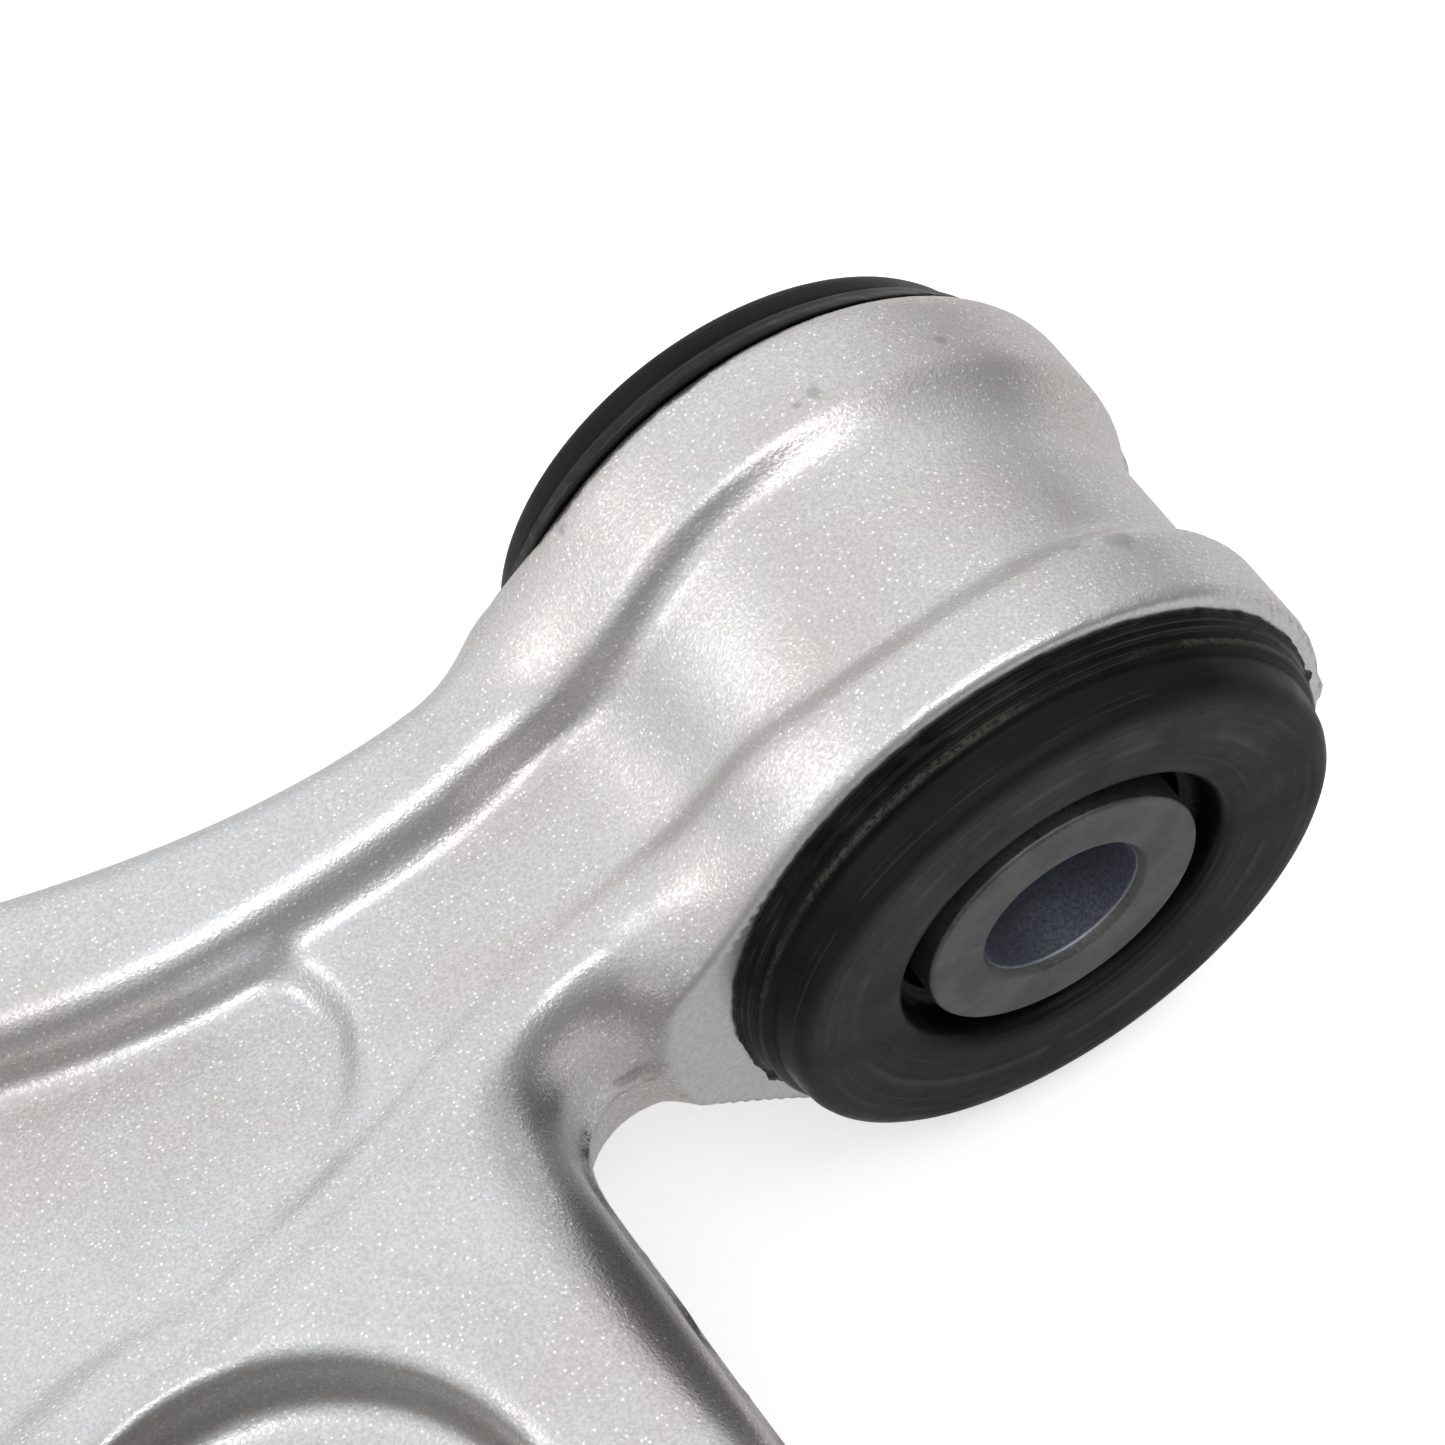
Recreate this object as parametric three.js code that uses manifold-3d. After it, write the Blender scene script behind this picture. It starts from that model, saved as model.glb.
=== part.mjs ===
// Front lower control arm: an L-shaped aluminium forging with a horizontal front bush,
// a vertical rear bush and a ball joint. Millimetres, +Z up.
// Inside the assembly group the origin is the front bush centre, +X points outboard to the
// ball joint and +Y runs along the front bush's bolt to the rear bush.
import * as THREE from 'three';
import { mergeVertices } from 'three/addons/utils/BufferGeometryUtils.js';
import Module from 'manifold-3d';

const wasm = await Module();
wasm.setup();

// ---- driving dimensions ---------------------------------------------------------------

const GAP = 0.3; // left between pieces that touch on the real arm
const REACH = 60; // cutters run past the solid by this much

// layout
const BALL_X = 345;
const BALL_Y = -50;
const REAR_Y = 235;

// forging
const HALF_THICKNESS = 14;
const WEB_HALF = 4.5;
const SHELF_HEIGHT = 9;
const RIB_WIDTH = 12;
const EDGE_BEVEL = 2.5;
const RECESS_X = 77;
const RECESS_Y = 48.5;
const RECESS_RADIUS = 20.5;
const RECESS_FLOOR = 7;
const RECESS_RIM = 8;
const LEG_EDGE_X = 42.9;
const NOTCH_RADIUS = 7;
const NOTCH_Y = 17.8;

// front boss and bush, axis along Y
const BOLT_BORE = 14.2;
const FRONT_BOSS_LENGTH = 38.1;
const COLLAR_RADIUS = 28.6;
const COLLAR_FACE_RADIUS = 27.9;
const WAIST_RADIUS = 26;
const FRONT_SLEEVE_OD = 25;
const FRONT_SLEEVE_LENGTH = 48.9;
const FRONT_CAN_OD = 42;
const FRONT_CAN_WALL = 1.5;
const FLANGE_FACE = 25.3;
const FLANGE_RADIUS = 26.5;
const FLANGE_FACE_RADIUS = 23.3;
const FLANGE_LIP_RADIUS = 15;
const FLANGE_RECESS_DEPTH = 4;

// rear boss and bush, axis along Z
const REAR_BOSS_RADIUS = 36;
const REAR_BOSS_HALF = 19;
const REAR_CAN_OD = 60;
const REAR_CAN_WALL = 2;
const REAR_CAN_HALF = 20.5;
const REAR_RUBBER_HALF = 18;
const REAR_CORE_OD = 30;
const REAR_CORE_HALF = 22;
const REAR_SLEEVE_OD = 21;
const REAR_SLEEVE_HALF = COLLAR_RADIUS;
const STOP_RADIUS = 20;
const STOP_THICKNESS = 3;
const SLOT_INNER = 18;
const SLOT_OUTER = 24.5;
const SLOT_HALF_ANGLE = THREE.MathUtils.degToRad(40);

// ball joint, axis along Z, heights from the ball's centre
const BALL_RADIUS = 13.5;
const NECK_RADIUS = 6.8;
const NECK_TOP = 20.5;
const SHANK_RADIUS = 9;
const SHANK_BOTTOM = 24.5;
const TAPER_BOTTOM = 30.5;
const TAPER_TOP = 51;
const TAPER_TOP_RADIUS = 7.6;
const THREAD_RADIUS = 6;
const STUD_TOP = 76;
const THREAD_CHAMFER = 1.4;
const BALL_BOSS_RADIUS = 31;
const BALL_BOSS_TOP = 12;
const BALL_BOSS_BOTTOM = -14;
const SPOT_FACE_MARGIN = 1.5;
const HOUSING_RADIUS = 23;
const HOUSING_TOP = 17;
const HOUSING_FLANGE_RADIUS = 27;
const HOUSING_FLANGE = 3;
const HOUSING_BOTTOM = -20.9;
const GROOVE_DEPTH = 1.5;
const SEAT_RADIUS = 17;
const SEAT_TOP = 9;
const SEAT_BOTTOM = -15;
const SEAT_WELL_RADIUS = 4.7;
const THROAT_RADIUS = 12.2;
const SEAT_LIP_ANGLE = THREE.MathUtils.degToRad(56.5);
const CAP_THICKNESS = 2.6;
const DISC_THICKNESS = 1.1;
const CRIMP = 1;
const CRIMP_RADIUS = 15.5;
const MOUTH_RADIUS = 15.6;
const SNAP_RING_THICKNESS = 1.4;
const SNAP_RING_RADIUS = 25.5;
const SNAP_RING_GAP_ANGLE = THREE.MathUtils.degToRad(24);
const BOOT_WALL = 1.7;
const BOOT_LIP_LENGTH = 1.8;
const BOOT_BULGE_RADIUS = 28.5;
const BOOT_COLLAR_LENGTH = 5;
const RING_WIRE = 0.55;
const SLIDING_RING_WALL = 1.2;
const NUT_BOTTOM = 56;
const NUT_HEIGHT = 12;
const NUT_ACROSS_FLATS = 19;
const NUT_FLANGE_RADIUS = 12.8;
const NUT_FLANGE_HEIGHT = 2.6;
const INSERT_HEIGHT = 2.6;
const INSERT_WALL = 1.7;

// how finely round shapes are cut
const FINE = 40;
const MEDIUM = 28;

// ---- helpers --------------------------------------------------------------------------

const v2 = (x, y) => new THREE.Vector2(x, y);

function bare(geometry) {
  const plain = geometry.index ? geometry : geometry.clone();
  plain.deleteAttribute('normal');
  plain.deleteAttribute('uv');
  return mergeVertices(plain, 1e-4);
}

function toSolid(geometry) {
  const merged = bare(geometry);
  return new wasm.Manifold(new wasm.Mesh({
    numProp: 3,
    vertProperties: new Float32Array(merged.attributes.position.array),
    triVerts: new Uint32Array(merged.index.array),
  }));
}

function toGeometry(solid) {
  const mesh = solid.getMesh();
  const geometry = new THREE.BufferGeometry();
  geometry.setAttribute('position', new THREE.BufferAttribute(mesh.vertProperties, 3));
  geometry.setIndex(new THREE.BufferAttribute(mesh.triVerts, 1));
  return geometry;
}

// A ring-shaped or axis-ended body turned about Y from its outline of (radius, height) points.
function turned(outline, segments = FINE) {
  const points = THREE.ShapeUtils.area(outline) > 0 ? outline : [...outline].reverse();
  return bare(new THREE.LatheGeometry([...points, points[0]], segments));
}

// The same body with its axis along Z.
function turnedUpright(outline, segments = FINE) {
  return turned(outline, segments).rotateX(Math.PI / 2);
}

function tube(innerRadius, outerRadius, low, high, segments = FINE) {
  return [v2(innerRadius, low), v2(outerRadius, low), v2(outerRadius, high), v2(innerRadius, high)];
}

function prism(shape, low, high, curveSegments = 12) {
  const geometry = new THREE.ExtrudeGeometry(shape, {
    depth: high - low,
    bevelEnabled: false,
    curveSegments,
  });
  return bare(geometry.translate(0, 0, low));
}

function disc(radius, low, high, segments = FINE) {
  return new THREE.CylinderGeometry(radius, radius, high - low, segments)
    .rotateX(Math.PI / 2)
    .translate(0, 0, (low + high) / 2);
}

function material(color, roughness, metalness) {
  return new THREE.MeshStandardMaterial({ color, roughness, metalness });
}

function piece(name, geometry, finish) {
  const mesh = new THREE.Mesh(geometry, finish);
  mesh.name = name;
  return mesh;
}

const forgedAluminium = () => material(0xc9c7c5, 0.45, 0.85);
const machinedSteel = () => material(0x8a8c8e, 0.4, 0.9);
const platedSteel = () => material(0xb9bcc0, 0.3, 0.9);
const blackRubber = () => material(0x2c2d30, 0.65, 0.0);
const whitePlastic = () => material(0xe6e2d6, 0.5, 0.0);

// ---- outline of the arm in plan --------------------------------------------------------

// The two ends of the plate stop just inside the bosses that cover them.
const BOSS_COVER = 0.5;
const BALL_JOIN = BALL_BOSS_RADIUS - BOSS_COVER;
const BALL_JOIN_X = BALL_X - 4;
const REAR_JOIN_ANGLE = THREE.MathUtils.degToRad(30);
const REAR_JOIN = REAR_BOSS_RADIUS - BOSS_COVER;
const REAR_JOIN_X = REAR_JOIN * Math.cos(REAR_JOIN_ANGLE);
const REAR_JOIN_Y = REAR_Y - REAR_JOIN * Math.sin(REAR_JOIN_ANGLE);

const bossFace = FRONT_BOSS_LENGTH / 2;
const farRoot = v2(72, -20);
const neckStart = v2(BALL_X - 45, BALL_Y + 26);
const legCorner = v2(70, 0.6 * REAR_Y);
const legEdgeEnd = v2(LEG_EDGE_X - 1.5, 47.9);

const curve = (start, control, end) => new THREE.QuadraticBezierCurve(start, control, end);

const farWaist = curve(v2(28, -bossFace), v2(45, -13), farRoot);
const farArm = curve(farRoot, v2(160, -43), v2(BALL_JOIN_X, BALL_Y - BALL_JOIN));
const neck = curve(
  v2(BALL_JOIN_X, BALL_Y + BALL_JOIN),
  v2(neckStart.x + 22, neckStart.y - 4.4),
  neckStart,
);
const rearArm = curve(neckStart, v2(120, 12), legCorner);
const legOuter = curve(
  legCorner,
  v2(54, (legCorner.y + REAR_JOIN_Y) / 2),
  v2(REAR_JOIN_X, REAR_JOIN_Y),
);
const legInner = curve(v2(-REAR_JOIN_X, REAR_JOIN_Y), v2(38, 0.47 * REAR_Y), legEdgeEnd);

function armOutline() {
  const shape = new THREE.Shape();
  shape.moveTo(6, -bossFace);
  for (const edge of [farWaist, farArm, neck, rearArm, legOuter, legInner]) {
    const steps = Math.max(5, Math.round(edge.getLength() / 14));
    for (const point of edge.getPoints(steps)) {
      shape.lineTo(point.x, point.y);
    }
  }
  const cornerX = LEG_EDGE_X - NOTCH_RADIUS;
  const cornerY = NOTCH_Y + NOTCH_RADIUS;
  shape.lineTo(LEG_EDGE_X, cornerY);
  shape.absarc(cornerX, cornerY, NOTCH_RADIUS, 0, -Math.PI / 2, true);
  shape.lineTo(34, NOTCH_Y);
  shape.lineTo(31.5, bossFace);
  shape.lineTo(6, bossFace);
  return shape;
}

// Points on a curve moved sideways to the left of its direction.
function parallel(edge, distance, from, to, steps) {
  const points = [];
  for (let i = 0; i <= steps; i += 1) {
    const t = THREE.MathUtils.lerp(from, to, i / steps);
    const tangent = edge.getTangent(t);
    const point = edge.getPoint(t);
    points.push(v2(point.x - tangent.y * distance, point.y + tangent.x * distance));
  }
  return points;
}

function arc(x, y, radius, fromDegrees, toDegrees, steps) {
  const points = [];
  for (let i = 0; i <= steps; i += 1) {
    const angle = THREE.MathUtils.degToRad(THREE.MathUtils.lerp(fromDegrees, toDegrees, i / steps));
    points.push(v2(x + radius * Math.cos(angle), y + radius * Math.sin(angle)));
  }
  return points;
}

function mainPocket() {
  return new THREE.Shape([
    ...parallel(farWaist, RIB_WIDTH, 0.72, 0.95, 2),
    ...parallel(farArm, RIB_WIDTH, 0.03, 0.84, 12),
    ...parallel(rearArm, RIB_WIDTH, 0.03, 0.56, 10),
    ...arc(RECESS_X, RECESS_Y, RECESS_RADIUS + RECESS_RIM, -8, -118, 8),
    v2(56, 13),
    v2(53.5, 7),
    v2(54, 0),
  ]);
}

function shelfPocket() {
  return new THREE.Shape([
    v2(22, -9.5),
    v2(31, -7),
    v2(45, -5),
    v2(58, -4.6),
    v2(58, 14),
    v2(43, 10),
    v2(28, 8),
    v2(19, 6),
  ]);
}

function legPocket() {
  return new THREE.Shape([
    ...parallel(rearArm, RIB_WIDTH, 0.8, 0.97, 4),
    ...parallel(legOuter, RIB_WIDTH, 0.05, 0.5, 5),
    ...parallel(legInner, RIB_WIDTH, 0.17, 0.73, 10),
  ]);
}

// ---- forging --------------------------------------------------------------------------

// Outer surface of the horizontal boss: two raised collars with a waist between them.
function frontBossOutline() {
  return [
    v2(0, -bossFace),
    v2(COLLAR_FACE_RADIUS, -bossFace),
    v2(COLLAR_RADIUS - 0.2, -bossFace + 2),
    v2(COLLAR_RADIUS - 0.2, -9),
    v2(WAIST_RADIUS + 0.6, -1),
    v2(WAIST_RADIUS, 4),
    v2(COLLAR_RADIUS - 0.6, 8),
    v2(COLLAR_RADIUS, 10),
    v2(COLLAR_RADIUS, bossFace - 3),
    v2(COLLAR_FACE_RADIUS, bossFace),
    v2(0, bossFace),
  ];
}

function armPlate() {
  const depth = 2 * (HALF_THICKNESS - EDGE_BEVEL);
  const geometry = new THREE.ExtrudeGeometry(armOutline(), {
    depth,
    bevelEnabled: true,
    bevelThickness: EDGE_BEVEL,
    bevelSize: EDGE_BEVEL,
    bevelOffset: -EDGE_BEVEL,
    bevelSegments: 2,
    curveSegments: 6,
  });
  return toSolid(geometry.translate(0, 0, -depth / 2));
}

function cutBothSides(solid, shape, floor) {
  return solid
    .subtract(toSolid(prism(shape, floor, REACH)))
    .subtract(toSolid(prism(shape, -REACH, -floor)));
}

function recessShape() {
  return new THREE.Shape(arc(RECESS_X, RECESS_Y, RECESS_RADIUS, 0, 345, 23));
}

function armForging() {
  let solid = armPlate();
  solid = cutBothSides(solid, mainPocket(), WEB_HALF);
  solid = cutBothSides(solid, shelfPocket(), SHELF_HEIGHT);
  solid = cutBothSides(solid, legPocket(), WEB_HALF);
  solid = cutBothSides(solid, recessShape(), RECESS_FLOOR);
  const frontBoss = turned(frontBossOutline(), FINE);
  const rearBoss = disc(REAR_BOSS_RADIUS, -REAR_BOSS_HALF, REAR_BOSS_HALF).translate(0, REAR_Y, 0);
  const ballBoss = disc(BALL_BOSS_RADIUS, BALL_BOSS_BOTTOM, BALL_BOSS_TOP)
    .translate(BALL_X, BALL_Y, 0);
  for (const boss of [frontBoss, rearBoss, ballBoss]) {
    solid = solid.add(toSolid(boss));
  }
  const frontBore = new THREE.CylinderGeometry(
    FRONT_CAN_OD / 2 + GAP, FRONT_CAN_OD / 2 + GAP, 2 * REACH, FINE,
  );
  const rearBore = disc(REAR_CAN_OD / 2 + GAP, -REACH, REACH).translate(0, REAR_Y, 0);
  const ballBore = disc(HOUSING_RADIUS + GAP, -REACH, REACH).translate(BALL_X, BALL_Y, 0);
  const spotRadius = BALL_BOSS_RADIUS + SPOT_FACE_MARGIN;
  const upperSpotFace = disc(spotRadius, BALL_BOSS_TOP, REACH).translate(BALL_X, BALL_Y, 0);
  const lowerSpotFace = disc(spotRadius, -REACH, BALL_BOSS_BOTTOM).translate(BALL_X, BALL_Y, 0);
  for (const cutter of [frontBore, rearBore, ballBore, upperSpotFace, lowerSpotFace]) {
    solid = solid.subtract(toSolid(cutter));
  }
  return piece('arm_forging', toGeometry(solid), forgedAluminium());
}

// ---- front bush -----------------------------------------------------------------------

function frontBush() {
  const group = new THREE.Group();
  const half = FRONT_SLEEVE_LENGTH / 2;
  const sleeveOuter = FRONT_SLEEVE_OD / 2;
  const bore = BOLT_BORE / 2;
  const chamfer = 0.6;
  const canInner = FRONT_CAN_OD / 2 - FRONT_CAN_WALL;
  const canHalf = bossFace - GAP;
  const sleeve = [
    v2(bore, -half + chamfer),
    v2(bore + chamfer, -half),
    v2(sleeveOuter, -half),
    v2(sleeveOuter, half),
    v2(bore + chamfer, half),
    v2(bore, half - chamfer),
  ];
  group.add(piece('front_bush_inner_sleeve', turned(sleeve), machinedSteel()));
  const can = tube(canInner, FRONT_CAN_OD / 2, -canHalf, canHalf);
  group.add(piece('front_bush_outer_sleeve', turned(can), machinedSteel()));

  const flangeBack = bossFace + GAP;
  const upperHalf = [
    v2(canInner - GAP, flangeBack),
    v2(FLANGE_RADIUS, flangeBack),
    v2(FLANGE_RADIUS - 0.5, flangeBack + 1),
    v2(FLANGE_RADIUS - 1.3, FLANGE_FACE - 2.4),
    v2(FLANGE_FACE_RADIUS + 0.9, FLANGE_FACE - 0.7),
    v2(FLANGE_FACE_RADIUS, FLANGE_FACE),
    v2(FLANGE_LIP_RADIUS, half),
    v2(FLANGE_LIP_RADIUS, half - FLANGE_RECESS_DEPTH),
    v2(sleeveOuter + GAP, half - FLANGE_RECESS_DEPTH),
  ];
  const lowerHalf = upperHalf.map((point) => v2(point.x, -point.y)).reverse();
  group.add(piece('front_bush_rubber', turned([...upperHalf, ...lowerHalf]), blackRubber()));
  return group;
}

// ---- rear bush ------------------------------------------------------------------------

function kidneySlot(centreAngle) {
  const slot = new THREE.Path();
  slot.absarc(0, 0, SLOT_OUTER, centreAngle - SLOT_HALF_ANGLE, centreAngle + SLOT_HALF_ANGLE, false);
  slot.absarc(0, 0, SLOT_INNER, centreAngle + SLOT_HALF_ANGLE, centreAngle - SLOT_HALF_ANGLE, true);
  slot.closePath();
  return slot;
}

function rearBush() {
  const group = new THREE.Group();
  group.position.y = REAR_Y;
  const canInner = REAR_CAN_OD / 2 - REAR_CAN_WALL;
  const coreOuter = REAR_CORE_OD / 2;
  const sleeveOuter = REAR_SLEEVE_OD / 2;
  const can = tube(canInner, REAR_CAN_OD / 2, -REAR_CAN_HALF, REAR_CAN_HALF);
  group.add(piece('rear_bush_outer_sleeve', turnedUpright(can), machinedSteel()));
  const core = tube(sleeveOuter + GAP, coreOuter, -REAR_CORE_HALF, REAR_CORE_HALF);
  group.add(piece('rear_bush_core', turnedUpright(core, MEDIUM), forgedAluminium()));
  const sleeve = tube(BOLT_BORE / 2, sleeveOuter, -REAR_SLEEVE_HALF, REAR_SLEEVE_HALF);
  group.add(piece('rear_bush_inner_sleeve', turnedUpright(sleeve, MEDIUM), machinedSteel()));

  const stopLow = REAR_CORE_HALF + GAP;
  for (const [side, name] of [[1, 'rear_bush_upper_stop'], [-1, 'rear_bush_lower_stop']]) {
    const ends = [side * stopLow, side * (stopLow + STOP_THICKNESS)].sort((a, b) => a - b);
    const stop = tube(sleeveOuter + GAP, STOP_RADIUS, ends[0], ends[1]);
    group.add(piece(name, turnedUpright(stop, MEDIUM), blackRubber()));
  }

  const rubber = new THREE.Shape();
  rubber.absarc(0, 0, canInner - GAP, 0, 2 * Math.PI, false);
  const hole = new THREE.Path();
  hole.absarc(0, 0, coreOuter + GAP, 0, 2 * Math.PI, true);
  rubber.holes.push(hole, kidneySlot(0), kidneySlot(Math.PI));
  const rubberBody = prism(rubber, -REAR_RUBBER_HALF, REAR_RUBBER_HALF, 20);
  group.add(piece('rear_bush_rubber', rubberBody, blackRubber()));
  return group;
}

// ---- ball joint -----------------------------------------------------------------------

const snapGroove = BALL_BOSS_TOP;
const snapGrooveTop = snapGroove + SNAP_RING_THICKNESS + 2 * GAP;
const bootGrooveTop = HOUSING_TOP - 0.5;
const bootGroove = bootGrooveTop - BOOT_LIP_LENGTH - GAP;
const grooveRadius = HOUSING_RADIUS - GROOVE_DEPTH;
const housingBore = SEAT_RADIUS + GAP;

function housing() {
  const flangeTop = BALL_BOSS_BOTTOM - GAP;
  const capUnderside = HOUSING_BOTTOM + CRIMP;
  return turnedUpright([
    v2(CRIMP_RADIUS, HOUSING_BOTTOM),
    v2(HOUSING_RADIUS - 2, HOUSING_BOTTOM),
    v2(HOUSING_RADIUS, flangeTop - HOUSING_FLANGE),
    v2(HOUSING_FLANGE_RADIUS, flangeTop - HOUSING_FLANGE),
    v2(HOUSING_FLANGE_RADIUS, flangeTop),
    v2(HOUSING_RADIUS, flangeTop),
    v2(HOUSING_RADIUS, snapGroove),
    v2(grooveRadius, snapGroove),
    v2(grooveRadius, snapGrooveTop),
    v2(HOUSING_RADIUS, snapGrooveTop),
    v2(HOUSING_RADIUS, bootGroove),
    v2(grooveRadius, bootGroove),
    v2(grooveRadius, bootGrooveTop),
    v2(HOUSING_RADIUS, bootGrooveTop),
    v2(HOUSING_RADIUS, HOUSING_TOP),
    v2(MOUTH_RADIUS, HOUSING_TOP),
    v2(THROAT_RADIUS, SEAT_TOP + 1.2),
    v2(housingBore, SEAT_TOP + GAP),
    v2(housingBore, capUnderside),
    v2(CRIMP_RADIUS, capUnderside),
  ]);
}

function ballSeat() {
  const inner = BALL_RADIUS + GAP;
  const lowest = Math.PI - Math.asin(SEAT_WELL_RADIUS / inner);
  const outline = [
    v2(SEAT_WELL_RADIUS, SEAT_BOTTOM),
    v2(SEAT_RADIUS, SEAT_BOTTOM),
    v2(SEAT_RADIUS, SEAT_TOP),
    v2(THROAT_RADIUS + GAP, SEAT_TOP),
  ];
  const steps = 12;
  for (let i = 0; i <= steps; i += 1) {
    const angle = THREE.MathUtils.lerp(SEAT_LIP_ANGLE, lowest, i / steps);
    outline.push(v2(inner * Math.sin(angle), inner * Math.cos(angle)));
  }
  return turnedUpright(outline, MEDIUM);
}

function ballStud() {
  const outline = [];
  const neckAngle = Math.asin(NECK_RADIUS / BALL_RADIUS);
  const steps = 14;
  const lowest = THREE.MathUtils.degToRad(165);
  for (let i = 0; i <= steps; i += 1) {
    const angle = THREE.MathUtils.lerp(lowest, neckAngle, i / steps);
    outline.push(v2(BALL_RADIUS * Math.sin(angle), BALL_RADIUS * Math.cos(angle)));
  }
  return turnedUpright([
    v2(0, outline[0].y),
    ...outline,
    v2(NECK_RADIUS, NECK_TOP),
    v2(SHANK_RADIUS, SHANK_BOTTOM),
    v2(SHANK_RADIUS, TAPER_BOTTOM),
    v2(TAPER_TOP_RADIUS, TAPER_TOP),
    v2(THREAD_RADIUS, TAPER_TOP + 1.5),
    v2(THREAD_RADIUS, STUD_TOP - THREAD_CHAMFER),
    v2(THREAD_RADIUS - THREAD_CHAMFER, STUD_TOP),
    v2(0, STUD_TOP),
  ], MEDIUM);
}

const collarInner = SHANK_RADIUS + 2 * GAP + SLIDING_RING_WALL;
const collarOuter = collarInner + BOOT_WALL;
const collarBottom = SHANK_BOTTOM + GAP;
const collarTop = collarBottom + BOOT_COLLAR_LENGTH;

function dustBoot() {
  const lipInner = grooveRadius + GAP;
  const lipOuter = lipInner + BOOT_WALL + 0.8;
  const rimClear = HOUSING_RADIUS + GAP + 0.1;
  return turnedUpright([
    v2(lipInner, bootGroove + GAP),
    v2(lipOuter, bootGroove + GAP),
    v2(lipOuter + 0.4, bootGrooveTop),
    v2(BOOT_BULGE_RADIUS - 1, HOUSING_TOP + 1.6),
    v2(BOOT_BULGE_RADIUS, HOUSING_TOP + 4.4),
    v2(BOOT_BULGE_RADIUS - 2, HOUSING_TOP + 7.6),
    v2(BOOT_BULGE_RADIUS - 7, HOUSING_TOP + 9.6),
    v2(collarOuter + 2.4, collarBottom + 2.2),
    v2(collarOuter, collarBottom + 2),
    v2(collarOuter, collarTop),
    v2(collarInner, collarTop),
    v2(collarInner, collarBottom),
    v2(collarOuter + 2.2, collarBottom + 0.4),
    v2(BOOT_BULGE_RADIUS - 7.4, HOUSING_TOP + 7.9),
    v2(BOOT_BULGE_RADIUS - 3.2, HOUSING_TOP + 6.4),
    v2(BOOT_BULGE_RADIUS - BOOT_WALL, HOUSING_TOP + 4.2),
    v2(BOOT_BULGE_RADIUS - BOOT_WALL - 0.9, HOUSING_TOP + 2.4),
    v2(rimClear, HOUSING_TOP + 0.5),
    v2(rimClear, bootGrooveTop - GAP),
    v2(lipInner, bootGrooveTop - GAP),
  ], MEDIUM);
}

function wireRing(radius, height) {
  return new THREE.TorusGeometry(radius, RING_WIRE, 6, MEDIUM).translate(0, 0, height);
}

// An open spring ring lying in the housing's lower groove.
function snapRing() {
  const half = SNAP_RING_GAP_ANGLE / 2;
  const shape = new THREE.Shape();
  shape.absarc(0, 0, SNAP_RING_RADIUS, half, 2 * Math.PI - half, false);
  shape.absarc(0, 0, grooveRadius + GAP, 2 * Math.PI - half, half, true);
  shape.closePath();
  const low = snapGroove + GAP;
  return prism(shape, low, low + SNAP_RING_THICKNESS, 20);
}

function nutSolid() {
  const corner = NUT_ACROSS_FLATS / 2 / Math.cos(Math.PI / 6);
  const hex = toSolid(disc(corner, NUT_BOTTOM, NUT_BOTTOM + NUT_HEIGHT, 6));
  const flange = toSolid(turnedUpright([
    v2(0, NUT_BOTTOM),
    v2(NUT_FLANGE_RADIUS, NUT_BOTTOM),
    v2(NUT_FLANGE_RADIUS, NUT_BOTTOM + 1),
    v2(NUT_ACROSS_FLATS / 2, NUT_BOTTOM + NUT_FLANGE_HEIGHT),
    v2(0, NUT_BOTTOM + NUT_FLANGE_HEIGHT),
  ], MEDIUM));
  const bore = toSolid(disc(THREAD_RADIUS + GAP, 0, 2 * REACH, MEDIUM));
  const insertRadius = THREAD_RADIUS + 2 * GAP + INSERT_WALL;
  const insertFloor = NUT_BOTTOM + NUT_HEIGHT - INSERT_HEIGHT - 2 * GAP;
  const recess = toSolid(disc(insertRadius, insertFloor, 2 * REACH, MEDIUM));
  return toGeometry(hex.add(flange).subtract(bore).subtract(recess));
}

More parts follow.
